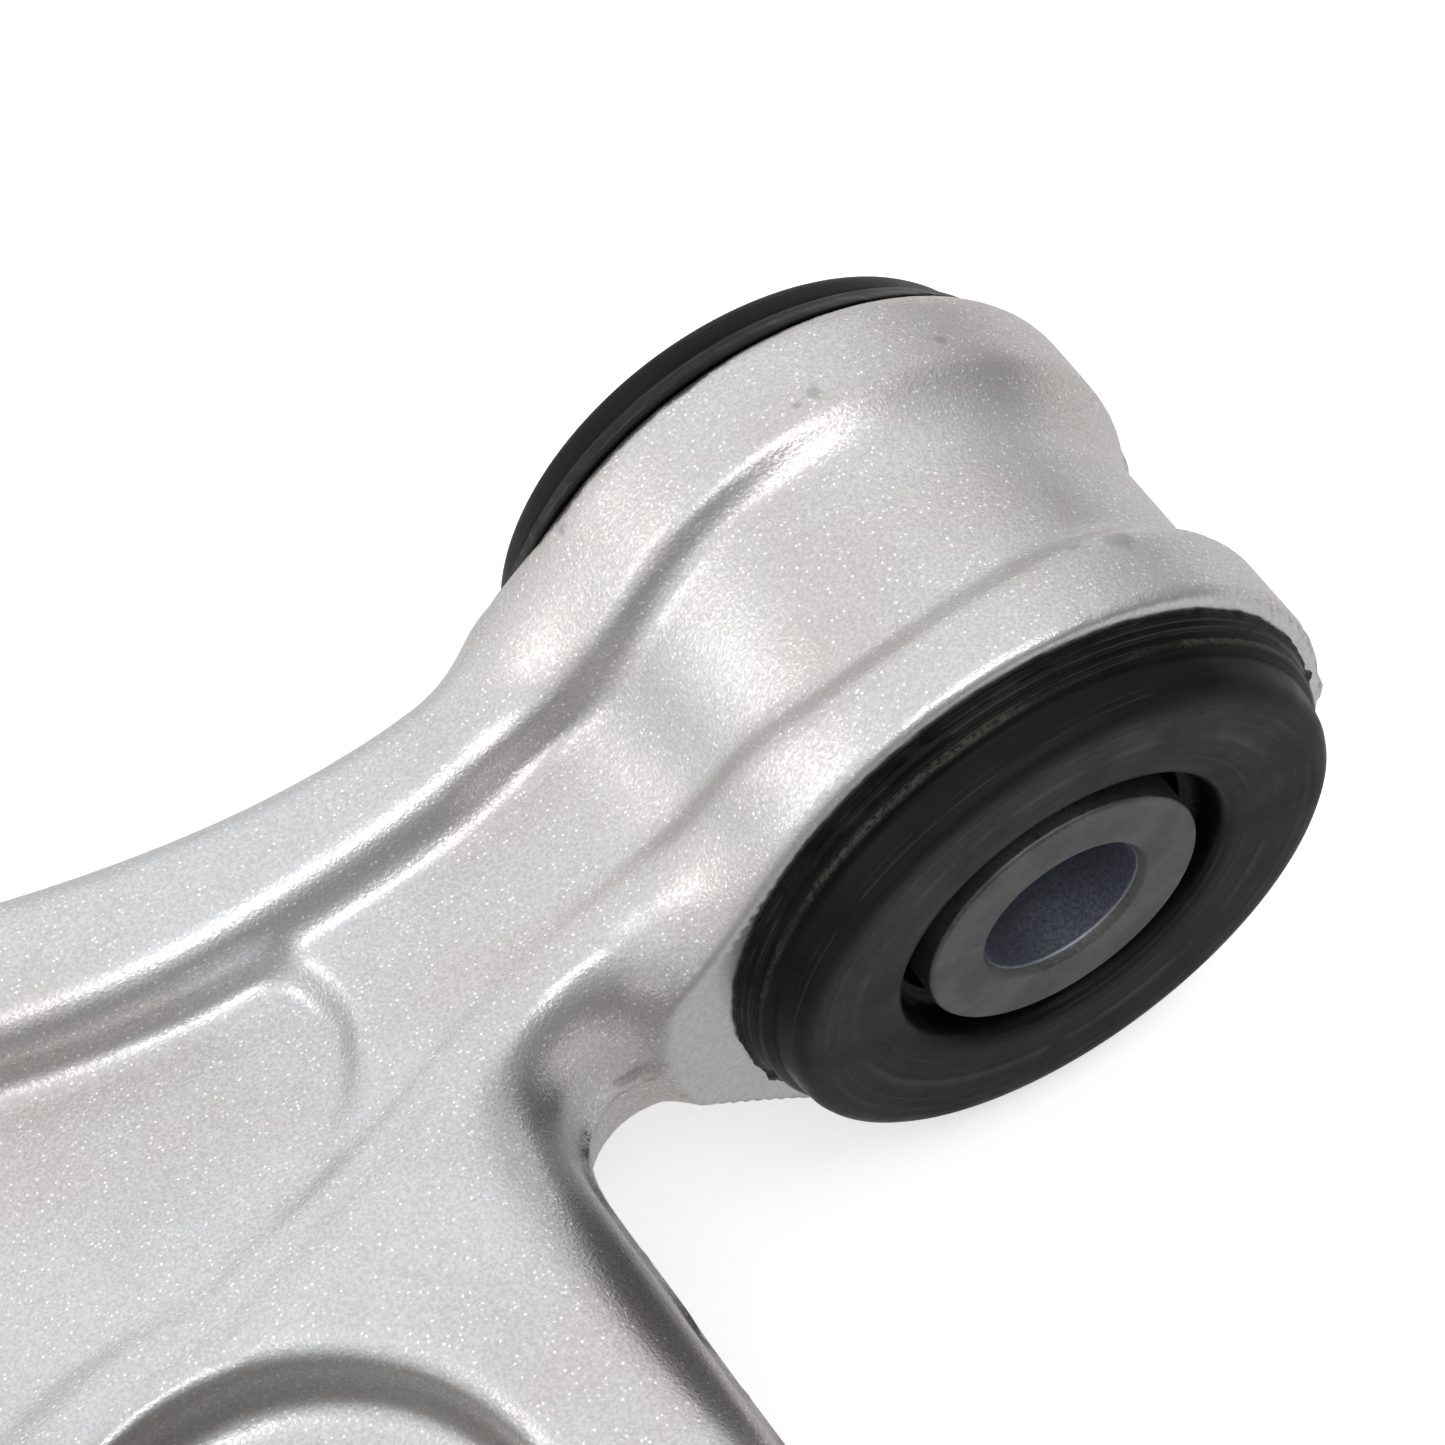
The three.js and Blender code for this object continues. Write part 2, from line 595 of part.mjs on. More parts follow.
function ballJoint() {
  const group = new THREE.Group();
  group.position.set(BALL_X, BALL_Y, 0);
  const capLow = HOUSING_BOTTOM + CRIMP + GAP;
  const discLow = SEAT_BOTTOM - GAP - DISC_THICKNESS;
  const ringLow = collarBottom + GAP;
  const insertTop = NUT_BOTTOM + NUT_HEIGHT - GAP;
  const slidingRing = tube(
    SHANK_RADIUS + GAP, SHANK_RADIUS + GAP + SLIDING_RING_WALL, ringLow, collarTop - GAP,
  );
  const insert = tube(
    THREAD_RADIUS + GAP, THREAD_RADIUS + GAP + INSERT_WALL, insertTop - INSERT_HEIGHT, insertTop,
  );
  const preload = tube(6, SEAT_RADIUS - 1.5, discLow, discLow + DISC_THICKNESS);
  const lowerRingRadius = grooveRadius + 2 * GAP + BOOT_WALL + 0.8 + RING_WIRE + 0.2;
  const lowerRingHeight = (bootGroove + bootGrooveTop) / 2 - 0.3;
  const upperRingRadius = collarOuter + GAP + RING_WIRE;
  group.add(
    piece('ball_joint_housing', housing(), platedSteel()),
    piece('ball_joint_seat', ballSeat(), whitePlastic()),
    piece('ball_stud', ballStud(), machinedSteel()),
    piece('ball_joint_preload_disc', turnedUpright(preload, MEDIUM), machinedSteel()),
    piece('ball_joint_cap', disc(SEAT_RADIUS, capLow, capLow + CAP_THICKNESS, MEDIUM), platedSteel()),
    piece('ball_joint_snap_ring', snapRing(), machinedSteel()),
    piece('dust_boot', dustBoot(), blackRubber()),
    piece('boot_lower_ring', wireRing(lowerRingRadius, lowerRingHeight), platedSteel()),
    piece('boot_upper_ring', wireRing(upperRingRadius, collarTop - 1.2), platedSteel()),
    piece('boot_sliding_ring', turnedUpright(slidingRing, MEDIUM), whitePlastic()),
    piece('stud_nut', nutSolid(), platedSteel()),
    piece('stud_nut_insert', turnedUpright(insert, MEDIUM), whitePlastic()),
  );
  return group;
}

// ---- assembly -------------------------------------------------------------------------

const assembly = new THREE.Group();
assembly.add(armForging(), frontBush(), rearBush(), ballJoint());

// The whole arm lies on Z = 0 with the middle of its box above the origin.
const group = new THREE.Group();
group.add(assembly);
group.updateMatrixWorld(true);
const box = new THREE.Box3().setFromObject(group, true);
assembly.position.set(
  -(box.min.x + box.max.x) / 2,
  -(box.min.y + box.max.y) / 2,
  -box.min.z,
);

export default group;
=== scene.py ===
import itertools
import math

import bmesh
import bpy
import numpy as np
from mathutils import Matrix, Vector


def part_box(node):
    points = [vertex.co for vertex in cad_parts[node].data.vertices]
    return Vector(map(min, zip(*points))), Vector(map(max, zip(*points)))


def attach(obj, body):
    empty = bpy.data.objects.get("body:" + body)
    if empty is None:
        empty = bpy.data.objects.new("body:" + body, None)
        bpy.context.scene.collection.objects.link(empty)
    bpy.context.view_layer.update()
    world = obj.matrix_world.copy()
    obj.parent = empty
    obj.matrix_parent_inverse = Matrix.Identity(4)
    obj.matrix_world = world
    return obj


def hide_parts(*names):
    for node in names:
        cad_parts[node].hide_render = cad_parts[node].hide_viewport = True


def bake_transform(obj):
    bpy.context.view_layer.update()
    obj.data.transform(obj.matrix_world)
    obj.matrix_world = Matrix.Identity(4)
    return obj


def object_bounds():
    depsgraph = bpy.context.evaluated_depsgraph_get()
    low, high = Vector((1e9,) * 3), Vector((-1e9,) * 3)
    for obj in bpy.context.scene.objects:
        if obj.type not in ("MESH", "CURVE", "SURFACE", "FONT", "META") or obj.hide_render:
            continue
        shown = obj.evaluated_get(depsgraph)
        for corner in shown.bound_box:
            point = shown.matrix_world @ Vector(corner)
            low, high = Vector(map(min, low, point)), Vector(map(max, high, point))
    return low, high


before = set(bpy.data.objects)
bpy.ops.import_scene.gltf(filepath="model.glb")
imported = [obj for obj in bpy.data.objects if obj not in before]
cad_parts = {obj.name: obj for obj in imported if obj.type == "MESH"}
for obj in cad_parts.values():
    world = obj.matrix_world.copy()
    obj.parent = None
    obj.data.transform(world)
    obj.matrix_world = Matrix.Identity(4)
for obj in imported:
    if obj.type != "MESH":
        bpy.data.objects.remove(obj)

# A front lower control arm: an L-shaped aluminium forging with a horizontal front bush, a
# vertical rear bush and a ball joint. Shapes are worked out in millimetres from the centre
# of the front bush (+X outboard, +Y along the bush to the rear, +Z up), then set in the frame.

MM = 0.001
CAD_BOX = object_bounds()


def middle(node):
    low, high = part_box(node)
    return (low + high) / 2


FRONT = middle("front_bush_inner_sleeve")
REAR = middle("rear_bush_inner_sleeve")
BALL = Vector((*middle("ball_joint_housing").xy, FRONT.z))
BALL_X, BALL_Y = ((BALL - FRONT).xy / MM)
REAR_Y = (REAR - FRONT).y / MM

# ---- forging dimensions, mm ------------------------------------------------------------
RIB_HEIGHT = 13.5
BALL_PLATE_HEIGHT = 12.0
DRAFT = math.tan(math.radians(6))
EDGE_ROUND = 4.6
NOTCH_ROUND = 8.0
WALL_TOP_ROUND = 4.0
WALL_FOOT_ROUND = 2.6
BOSS_FACE = 19.07
COLLAR_RADIUS = 28.5
WAIST_DEPTH = 2.4
FACING_RADIUS = 33.0
FRONT_BORE = 21.3
REAR_BOSS_RADIUS = 36.0
REAR_BOSS_HALF = 19.0
REAR_BORE = 30.3
BALL_BOSS_RADIUS = 31.0
BALL_BOSS_TOP = 12.0
BALL_BOSS_BOTTOM = -14.0
BALL_BORE = 23.3
SPOT_FACE_RADIUS = 32.5
RECESS = (77.0, 48.5)
RECESS_RADIUS = 19.9
RECESS_FLOOR = 7.0
RECESS_RIM = 26.0
LEG_FLOOR = 4.8
SHELF_FLOOR = 9.2
WEB_FLOOR = 6.8
OUTER_FLOOR = 4.6
FRONT_FILLET = 9.5
REAR_FILLET = 7.0
BALL_FILLET = 6.0
BORE_EDGE = 0.5
SLEEVE_BORE = 7.1
FLASH_HALF = 0.9
FLASH_PROUD = 0.45


# ---- curves and outlines ----------------------------------------------------------------
def bezier(start, control, end, steps=14):
    t = np.linspace(0, 1, steps + 1)[:, None]
    start, control, end = (np.array(p, float) for p in (start, control, end))
    return (1 - t) ** 2 * start + 2 * t * (1 - t) * control + t**2 * end


def beside(points, distance):
    """The same line moved sideways, to the left of its direction."""
    run = np.gradient(points, axis=0)
    run /= np.linalg.norm(run, axis=1)[:, None]
    return points + distance * np.stack([-run[:, 1], run[:, 0]], axis=1)


def arc(centre, radius, first, last, steps=10):
    angle = np.radians(np.linspace(first, last, steps + 1))
    return np.stack([centre[0] + radius * np.cos(angle), centre[1] + radius * np.sin(angle)], 1)


def softened(points, radius, steps=4):
    """A closed outline with each corner cut back by radius and rounded."""
    points = np.asarray(points, float)
    made = []
    for before, corner, after in zip(np.roll(points, 1, 0), points, np.roll(points, -1, 0)):
        ends = []
        for other in (before, after):
            length = np.linalg.norm(other - corner)
            ends.append(corner + (other - corner) * min(radius, 0.49 * length) / length)
        made.append(bezier(ends[0], corner, ends[1], steps))
    return np.concatenate(made)


def arm_curves():
    """The edges of the arm in plan, at the parting plane."""
    leg_corner = (70, 0.6 * REAR_Y)
    rear_join = REAR_BOSS_RADIUS - 0.5
    join_x, join_y = rear_join * math.cos(math.pi / 6), REAR_Y - rear_join * 0.5
    neck = (BALL_X - 45, BALL_Y + 26)
    ball_join = BALL_BOSS_RADIUS - 0.5
    return {
        "far_waist": bezier((28, -19.05), (45, -12.6), (72, -20)),
        "far_arm": bezier((72, -20), (160, -43), (BALL_X - 4, BALL_Y - ball_join), 24),
        "neck": bezier((BALL_X - 4, BALL_Y + ball_join), (neck[0] + 22, neck[1] - 4.4), neck),
        "rear_arm": bezier(neck, (120, 12), leg_corner, 24),
        "leg_outer": bezier(leg_corner, (54, (leg_corner[1] + join_y) / 2), (join_x, join_y)),
        "leg_inner": bezier((-join_x, join_y), (38, 0.47 * REAR_Y), (41.4, 47.9), 20),
    }


CURVES = arm_curves()
NOTCH_CENTRE = (35.9, 24.8)
NOTCH_RADIUS = 7.0


def arm_outline():
    edges = [CURVES[n] for n in ("far_waist", "far_arm", "neck", "rear_arm", "leg_outer")]
    return np.concatenate([
        [(6, -19.05)], *edges, CURVES["leg_inner"], [(42.9, 26.5)],
        arc(NOTCH_CENTRE, NOTCH_RADIUS, 0, -90), [(34, 17.8), (31.5, 19.05), (6, 19.05)],
    ])


def main_pocket():
    """Inside of the ribs; its near side is closed by the rising floor, not by this line."""
    root = [(8, -9.2), (17.5, -9.5), (21, -9.4), (24.8, -8.6), (28, -7.5), (31, -6.4),
            (36.7, -4.5), (41.7, -3.7), (49.4, -3.1), (55.4, -2.8), (61.5, -2.8),
            (66.4, -3.3), (71.2, -4.1), (75.7, -5.1)]
    far = beside(CURVES["far_arm"], 15.2)[3:20]
    rear = beside(CURVES["rear_arm"], 12)[2:15]
    under_plateau = [(112, 56), RECESS, (46, 30), (28, 17), (8, 16)]
    return softened(np.concatenate([root, far, rear, under_plateau]), 7, 3)


def leg_pocket():
    rear = beside(CURVES["rear_arm"], 12)[20:24]
    outer = beside(CURVES["leg_outer"], 12)[1:8]
    inner = beside(CURVES["leg_inner"], 12)[3:16]
    return softened(np.concatenate([rear, outer, inner]), 8, 3)


# Where the far rib's ridge and the near collar's crease run, as (x, y).
RIDGE = [(-21, -9.4), (-12, -9.6), (-2.3, -9.2), (4.5, -8.6), (10.6, -8.2), (15.9, -7.6),
         (19.9, -7.0), (25.7, -7.4), (30, -7.2), (41.7, -4.8), (61.5, -3.6), (100, -12)]
CREASE = [(-21, 9.6), (-12, 10.4), (-3.4, 11.4), (5, 11.9), (12, 11.4), (18, 9.6),
          (28.4, 8.6), (35.3, 9.8), (43.6, 12.4), (49.3, 14.6), (54.5, 16.9), (61.9, 19.6),
          (67.5, 21.2), (74.9, 24.2), (90, 44), (110, 90)]


# ---- field helpers ------------------------------------------------------------------------
def smooth(t):
    t = np.clip(t, 0, 1)
    return t * t * (3 - 2 * t)


def mix(a, b, t):
    return a + (b - a) * t


def both(a, b, radius):
    """Inside both shapes, with the edge between them rounded."""
    u, v = np.maximum(a + radius, 0), np.maximum(b + radius, 0)
    return np.minimum(np.maximum(a, b), -radius) + np.hypot(u, v)


def either(a, b, reach):
    """Inside one shape or the other, blended with a fillet."""
    h = np.maximum(reach - np.abs(a - b), 0) / reach
    return np.minimum(a, b) - h * h * reach / 4


def follow(x, line):
    """Height of a smooth line through points at x."""
    points = np.array(line, float)
    fine = np.linspace(points[0, 0], points[-1, 0], 240)
    height = np.interp(fine, points[:, 0], points[:, 1])
    kernel = np.hanning(13)
    padded = np.pad(height, 6, mode="reflect", reflect_type="odd")
    height = np.convolve(padded, kernel / kernel.sum(), mode="valid")
    return np.interp(x, fine, height)


def outline_distance(x, y, outline):
    """Distance to a closed outline, negative inside it."""
    best = np.full(np.shape(x), np.inf)
    inside = np.zeros(np.shape(x), bool)
    for (x0, y0), (x1, y1) in zip(outline, np.roll(outline, -1, 0)):
        ex, ey = x1 - x0, y1 - y0
        if ex * ex + ey * ey < 1e-9:
            continue
        t = np.clip(((x - x0) * ex + (y - y0) * ey) / (ex * ex + ey * ey), 0, 1)
        best = np.minimum(best, (x - x0 - t * ex) ** 2 + (y - y0 - t * ey) ** 2)
        if y0 != y1:
            spans = (y0 <= y) != (y1 <= y)
            inside ^= spans & (x < x0 + (y - y0) * ex / ey)
    return np.where(inside, -1, 1) * np.sqrt(best)


# ---- the forging as a field -------------------------------------------------------------------
OUTLINE = arm_outline()
MAIN_POCKET = main_pocket()
LEG_POCKET = leg_pocket()
WEB_END = (66.0, 5.5)
WEB_END_RADIUS = 13.1


def pocket_floor(x, y):
    """Height of the main pocket's floor: a shelf by the boss, a lower web beyond it, and a soft
    rise to the plateau at the crease and round the recess."""
    ridge, crease = follow(x, RIDGE), follow(x, CREASE)
    to_recess = np.hypot(x - RECESS[0], y - RECESS[1])
    rim = to_recess - RECESS_RIM
    inside = np.minimum(crease - y, rim)
    across = np.clip((y - ridge) / np.maximum(crease - ridge, 4), 0, 1)
    crest = RIB_HEIGHT - 2.1 * smooth((86 - x) / 30)
    shelf = mix(SHELF_FLOOR, crest, across**1.2)
    web = mix(WEB_FLOOR, crest - 0.3, across**1.6)
    outer = OUTER_FLOOR + 8.6 * smooth(1 - rim / 30)
    web = mix(web, outer, smooth((x - 84) / 34))
    narrowing = np.clip(1 - (x - WEB_END[0]) / 20, 0.15, 1)
    web_end = np.hypot(np.minimum(x - WEB_END[0], 0), (y - WEB_END[1]) * narrowing)
    low = mix(shelf, web, smooth((WEB_END_RADIUS + 1.9 - web_end) / 3.8))
    width = mix(4.0, 8.0, smooth((x - 70) / 20))
    step = smooth(0.5 - inside / width)
    return mix(low, RIB_HEIGHT, step) + np.maximum(-inside - width / 2, 0)


def plan(x, y):
    """Everything about the forging that depends only on the place in plan."""
    ridge, crease = follow(x, RIDGE), follow(x, CREASE)
    ridge_width = mix(7.0, 2.5, smooth((x + 8) / 20))
    into = (y - ridge) / ridge_width
    into = np.clip((into + np.hypot(into, 0.1)) / 2, 0, 1)
    valley = (1 - (1 - into) ** 2) * smooth(0.5 + (crease - y) / 4.4)
    to_ball = np.hypot(x - BALL_X, y - BALL_Y)
    to_notch = np.hypot(x - NOTCH_CENTRE[0], y - NOTCH_CENTRE[1])
    return {
        "round": mix(EDGE_ROUND, NOTCH_ROUND, smooth((34 - to_notch) / 22)),
        "outline": outline_distance(x, y, OUTLINE),
        "pocket": outline_distance(x, y, MAIN_POCKET),
        "leg": outline_distance(x, y, LEG_POCKET),
        "floor": pocket_floor(x, y),
        "top": mix(BALL_PLATE_HEIGHT, RIB_HEIGHT, smooth((to_ball - 30) / 20)),
        "recess": np.hypot(x - RECESS[0], y - RECESS[1]),
        "boss": COLLAR_RADIUS - WAIST_DEPTH * valley,
        "to_ball": to_ball,
        "to_rear": np.hypot(x, y - REAR_Y),
    }


def blank(x, y, z, p):
    """The forging as it leaves the dies, before machining."""
    up = np.abs(z)
    body = both(p["outline"] + up * DRAFT, up - p["top"], p["round"])
    floor = both(p["pocket"], p["floor"] - up, WALL_FOOT_ROUND)
    body = both(body, -floor, WALL_TOP_ROUND)
    leg = both(p["leg"] + (RIB_HEIGHT - up) * DRAFT, LEG_FLOOR - up, 3.4)
    body = both(body, -leg, 2.2)
    dish = both(p["recess"] - RECESS_RADIUS - (up - 10) * 0.2, RECESS_FLOOR - up, 2.2)
    body = both(body, -dish, 2.0)
    front = both(np.hypot(x, z) - p["boss"], np.abs(y) - BOSS_FACE, mix(2.9, 1.0, smooth(y / 4)))
    rear = both(p["to_rear"] - REAR_BOSS_RADIUS + up * 0.03, up - REAR_BOSS_HALF, 1.6)
    ball_up = np.maximum(z - BALL_BOSS_TOP, BALL_BOSS_BOTTOM - z)
    ball = both(p["to_ball"] - BALL_BOSS_RADIUS + up * 0.03, ball_up, 1.6)
    return either(either(either(body, front, FRONT_FILLET), rear, REAR_FILLET), ball, BALL_FILLET)


def forging(x, y, z, p, seam):
    """Signed field of the finished forging; seam is the blank's field at the parting plane."""
    solid = blank(x, y, z, p)
    band = both(seam - FLASH_PROUD, np.abs(z) - FLASH_HALF, 0.35)
    solid = either(solid, band, 0.5)
    across = np.hypot(x, z)
    near_boss = 40 - np.abs(y)
    facing = np.minimum(np.minimum(np.abs(y) - BOSS_FACE, FACING_RADIUS - across), near_boss)
    spot = np.maximum(z - BALL_BOSS_TOP, BALL_BOSS_BOTTOM - z)
    spot = np.minimum(spot, SPOT_FACE_RADIUS - p["to_ball"])
    rear_face = np.minimum(np.abs(z) - REAR_BOSS_HALF, REAR_BOSS_RADIUS + 4 - p["to_rear"])
    for cut in (facing, spot, rear_face):
        solid = np.maximum(solid, cut)
    front_bore = np.minimum(FRONT_BORE - across, near_boss)
    for bore in (front_bore, BALL_BORE - p["to_ball"], REAR_BORE - p["to_rear"]):
        solid = both(solid, bore, BORE_EDGE)
    return solid


def field_at(points):
    x, y, z = points.T
    p = plan(x, y)
    return forging(x, y, z, p, blank(x, y, np.zeros_like(z), p))


def field_slope(points, step=0.08):
    here = field_at(points)
    slope = np.empty_like(points)
    for axis in range(3):
        moved = points.copy()
        moved[:, axis] += step
        slope[:, axis] = (field_at(moved) - here) / step
    return here, slope


# ---- surface from a field ------------------------------------------------------------------
def spaced(spans):
    """Grid lines along one axis from (end, spacing) spans after the first value."""
    lines = [spans[0]]
    for end, spacing in spans[1:]:
        count = max(1, round((end - lines[-1]) / spacing))
        lines.extend(np.linspace(lines[-1], end, count + 1)[1:])
    return np.array(lines)


def surface_net(values, axes):
    """Points and quads of the zero surface of values on a box grid."""
    inside = values < 0
    corners = list(itertools.product((0, 1), repeat=3))
    size = np.array(values.shape) - 1
    count = np.zeros(size, np.int8)
    for dx, dy, dz in corners:
        count += inside[dx:size[0] + dx, dy:size[1] + dy, dz:size[2] + dz]
    active = (count > 0) & (count < 8)
    cell = np.argwhere(active)
    number = np.full(size, -1, np.int32)
    number[active] = np.arange(len(cell))
    value, place = [], []
    for offset in corners:
        at = cell + offset
        value.append(values[tuple(at.T)])
        place.append(np.stack([axes[k][at[:, k]] for k in range(3)], 1))
    total, hits = np.zeros((len(cell), 3)), np.zeros(len(cell))
    for a, b in itertools.combinations(range(8), 2):
        if sum(i != j for i, j in zip(corners[a], corners[b])) != 1:
            continue
        crossed = (value[a] < 0) != (value[b] < 0)
        t = value[a][crossed] / (value[a][crossed] - value[b][crossed])
        total[crossed] += place[a][crossed] + t[:, None] * (place[b] - place[a])[crossed]
        hits[crossed] += 1
    quads = []
    for axis in range(3):
        u, v = (axis + 1) % 3, (axis + 2) % 3
        first = np.take(inside, range(size[axis]), axis)
        second = np.take(inside, range(1, size[axis] + 1), axis)
        edge = np.argwhere(first != second)
        edge = edge[(edge[:, u] > 0) & (edge[:, v] > 0) & (edge[:, u] < size[u])
                    & (edge[:, v] < size[v])]
        ring = []
        for du, dv in ((1, 1), (0, 1), (0, 0), (1, 0)):
            at = edge.copy()
            at[:, u] -= du
            at[:, v] -= dv
            ring.append(number[tuple(at.T)])
        ring = np.stack(ring, 1)
        flipped = ~first[tuple(edge.T)]
        ring[flipped] = ring[flipped][:, ::-1]
        quads.append(ring)
    return total / hits[:, None], np.concatenate(quads)


def forging_surface():
    xs = spaced([-38.5, (-32, 2.0), (100, 0.95), (BALL_X + 33, 2.4)])
    ys = spaced([BALL_Y - 33.5, (-25, 2.4), (60, 0.95), (REAR_Y + 38.5, 2.4)])
    zs = spaced([-30.6, (-15, 1.5), (30.6, 0.96)])
    x, y = np.meshgrid(xs, ys, indexing="ij")
    p = plan(x, y)
    seam = blank(x, y, np.zeros_like(x), p)
    values = np.stack([forging(x, y, np.full_like(x, z), p, seam) for z in zs], 2)
    points, quads = surface_net(values, (xs, ys, zs))
    for _ in range(2):
        here, slope = field_slope(points)
        step = here / np.maximum((slope**2).sum(1), 0.2)
        points -= np.clip(step, -0.4, 0.4)[:, None] * slope
    return points, quads


# ---- making pieces ----------------------------------------------------------------------------
def mesh_object(name, points, faces):
    mesh = bpy.data.meshes.new(name)
    mesh.from_pydata([tuple(p) for p in points], [], [tuple(int(i) for i in f) for f in faces])
    mesh.validate()
    obj = bpy.data.objects.new(name, mesh)
    bpy.context.scene.collection.objects.link(obj)
    return obj


def tidy_normals(obj, merge=1e-6):
    made = bmesh.new()
    made.from_mesh(obj.data)
    bmesh.ops.remove_doubles(made, verts=made.verts, dist=merge)
    bmesh.ops.recalc_face_normals(made, faces=made.faces)
    made.to_mesh(obj.data)
    made.free()
    obj.data.shade_smooth()


def weighted(obj):
    """Shading that keeps flats flat beside their rounded edges."""
    modifier = obj.modifiers.new("weighted", "WEIGHTED_NORMAL")
    modifier.weight = 70
    return obj


def place_piece(obj, material, body, nodes):
    obj.data.materials.append(material)
    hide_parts(*nodes)
    if body:
        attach(obj, body)
    return obj


def lathe(name, profile, centre, axis="Z", segments=128, sweep=360.0):
    """A closed profile of (radius, height) in mm turned about an axis through centre.
    profile may be a function of the angle in radians."""
    shape = profile if callable(profile) else (lambda angle: profile)
    whole = sweep >= 360
    first = 0 if whole else math.radians(180 - sweep / 2)
    angles = first + math.radians(sweep) * np.arange(segments + (not whole)) / segments
    rings = []
    for angle in angles:
        radius, height = np.asarray(shape(angle), float).T
        along, up = radius * math.cos(angle), radius * math.sin(angle)
        rings.append(np.stack([along, height, up] if axis == "Y" else [along, up, height], 1))
    count = len(rings[0])
    points = np.array(centre) + np.concatenate(rings) * MM
    faces = []
    for ring in range(segments):
        a, b = ring * count, (ring + 1) % len(angles) * count
        for i in range(count):
            j = (i + 1) % count
            faces.append((a + i, a + j, b + j, b + i))
    if not whole:
        faces += [tuple(range(count)), tuple(range(segments * count, (segments + 1) * count))]
    obj = mesh_object(name, points, faces)
    tidy_normals(obj)
    return weighted(obj)


# ---- materials ----------------------------------------------------------------------------------
class Paint:
    """A node material being built; every texture is placed in the object's own metres."""

    def __init__(self, name):
        self.material = bpy.data.materials.new(name)
        self.material.use_nodes = True
        self.tree = self.material.node_tree
        self.shader = self.tree.nodes["Principled BSDF"]
        self.place = self.node("ShaderNodeTexCoord").outputs["Object"]

    def node(self, kind, inputs=(), **settings):
        made = self.tree.nodes.new(kind)
        for key, value in settings.items():
            setattr(made, key, value)
        for key, value in dict(inputs).items():
            self.put(made.inputs[key], value)
        return made

    def put(self, socket, value):
        if isinstance(value, bpy.types.NodeSocket):
            self.tree.links.new(value, socket)
        else:
            socket.default_value = value

    def noise(self, size, detail=2.0, rough=0.5, place=None):
        """Noise with features about size mm across."""
        return self.node("ShaderNodeTexNoise", {
            "Vector": place or self.place, "Scale": 1 / (size * MM), "Detail": detail,
            "Roughness": rough}).outputs["Fac"]

    def cells(self, size, output="Color"):
        return self.node("ShaderNodeTexVoronoi", {
            "Vector": self.place, "Scale": 1 / (size * MM)}).outputs[output]

    def ramp(self, value, low, high, to_low=0.0, to_high=1.0):
        return self.node("ShaderNodeMapRange", {
            "Value": value, "From Min": low, "From Max": high, "To Min": to_low,
            "To Max": to_high}, interpolation_type="SMOOTHSTEP").outputs["Result"]

    def math(self, operation, a, b=0.0):
        return self.node("ShaderNodeMath", {0: a, 1: b}, operation=operation).outputs[0]

    def blend(self, factor, a, b):
        made = self.node("ShaderNodeMix", data_type="RGBA")
        for index, value in ((0, factor), (6, a), (7, b)):
            self.put(made.inputs[index], value)
        return made.outputs[2]

    def shade(self, factor, colour, mode="MULTIPLY", amount=1.0):
        made = self.node("ShaderNodeMix", data_type="RGBA", blend_type=mode)
        for index, value in ((0, amount), (6, colour), (7, factor)):
            self.put(made.inputs[index], value)
        return made.outputs[2]

    def bump(self, height, strength, depth, below=None):
        inputs = {"Height": height, "Strength": strength, "Distance": depth * MM}
        if below:
            inputs["Normal"] = below
        return self.node("ShaderNodeBump", inputs).outputs["Normal"]

    def attribute(self, name):
        return self.node("ShaderNodeAttribute", attribute_name=name).outputs["Fac"]

    def spot(self, where, radius, wobble):
        """1 at a place in the frame, fading to 0 at radius mm, with a ragged edge."""
        ragged = self.node("ShaderNodeVectorMath", {0: self.place, 1: where},
                           operation="DISTANCE").outputs["Value"]
        ragged = self.math("ADD", ragged, self.math("MULTIPLY", wobble, radius * MM))
        return self.ramp(ragged, radius * 1.45 * MM, radius * 0.75 * MM)

    def round_front_bush(self):
        """Distance from the front bush's axis, and place along it, both in metres."""
        away = self.node("ShaderNodeVectorMath", {0: self.place, 1: FRONT},
                         operation="SUBTRACT").outputs["Vector"]
        split = self.node("ShaderNodeSeparateXYZ", {0: away})
        flat = self.node("ShaderNodeCombineXYZ", {0: split.outputs["X"], 2: split.outputs["Z"]})
        radius = self.node("ShaderNodeVectorMath", {0: flat.outputs[0]},
                           operation="LENGTH").outputs["Value"]
        return radius, split.outputs["Y"]

    def finish(self, **inputs):
        for key, value in inputs.items():
            self.put(self.shader.inputs[key.replace("_", " ")], value)
        return self.material


def from_front(x, y, z):
    """A place given in mm from the front bush centre, in the frame's metres."""
    return FRONT + Vector((x, y, z)) * MM


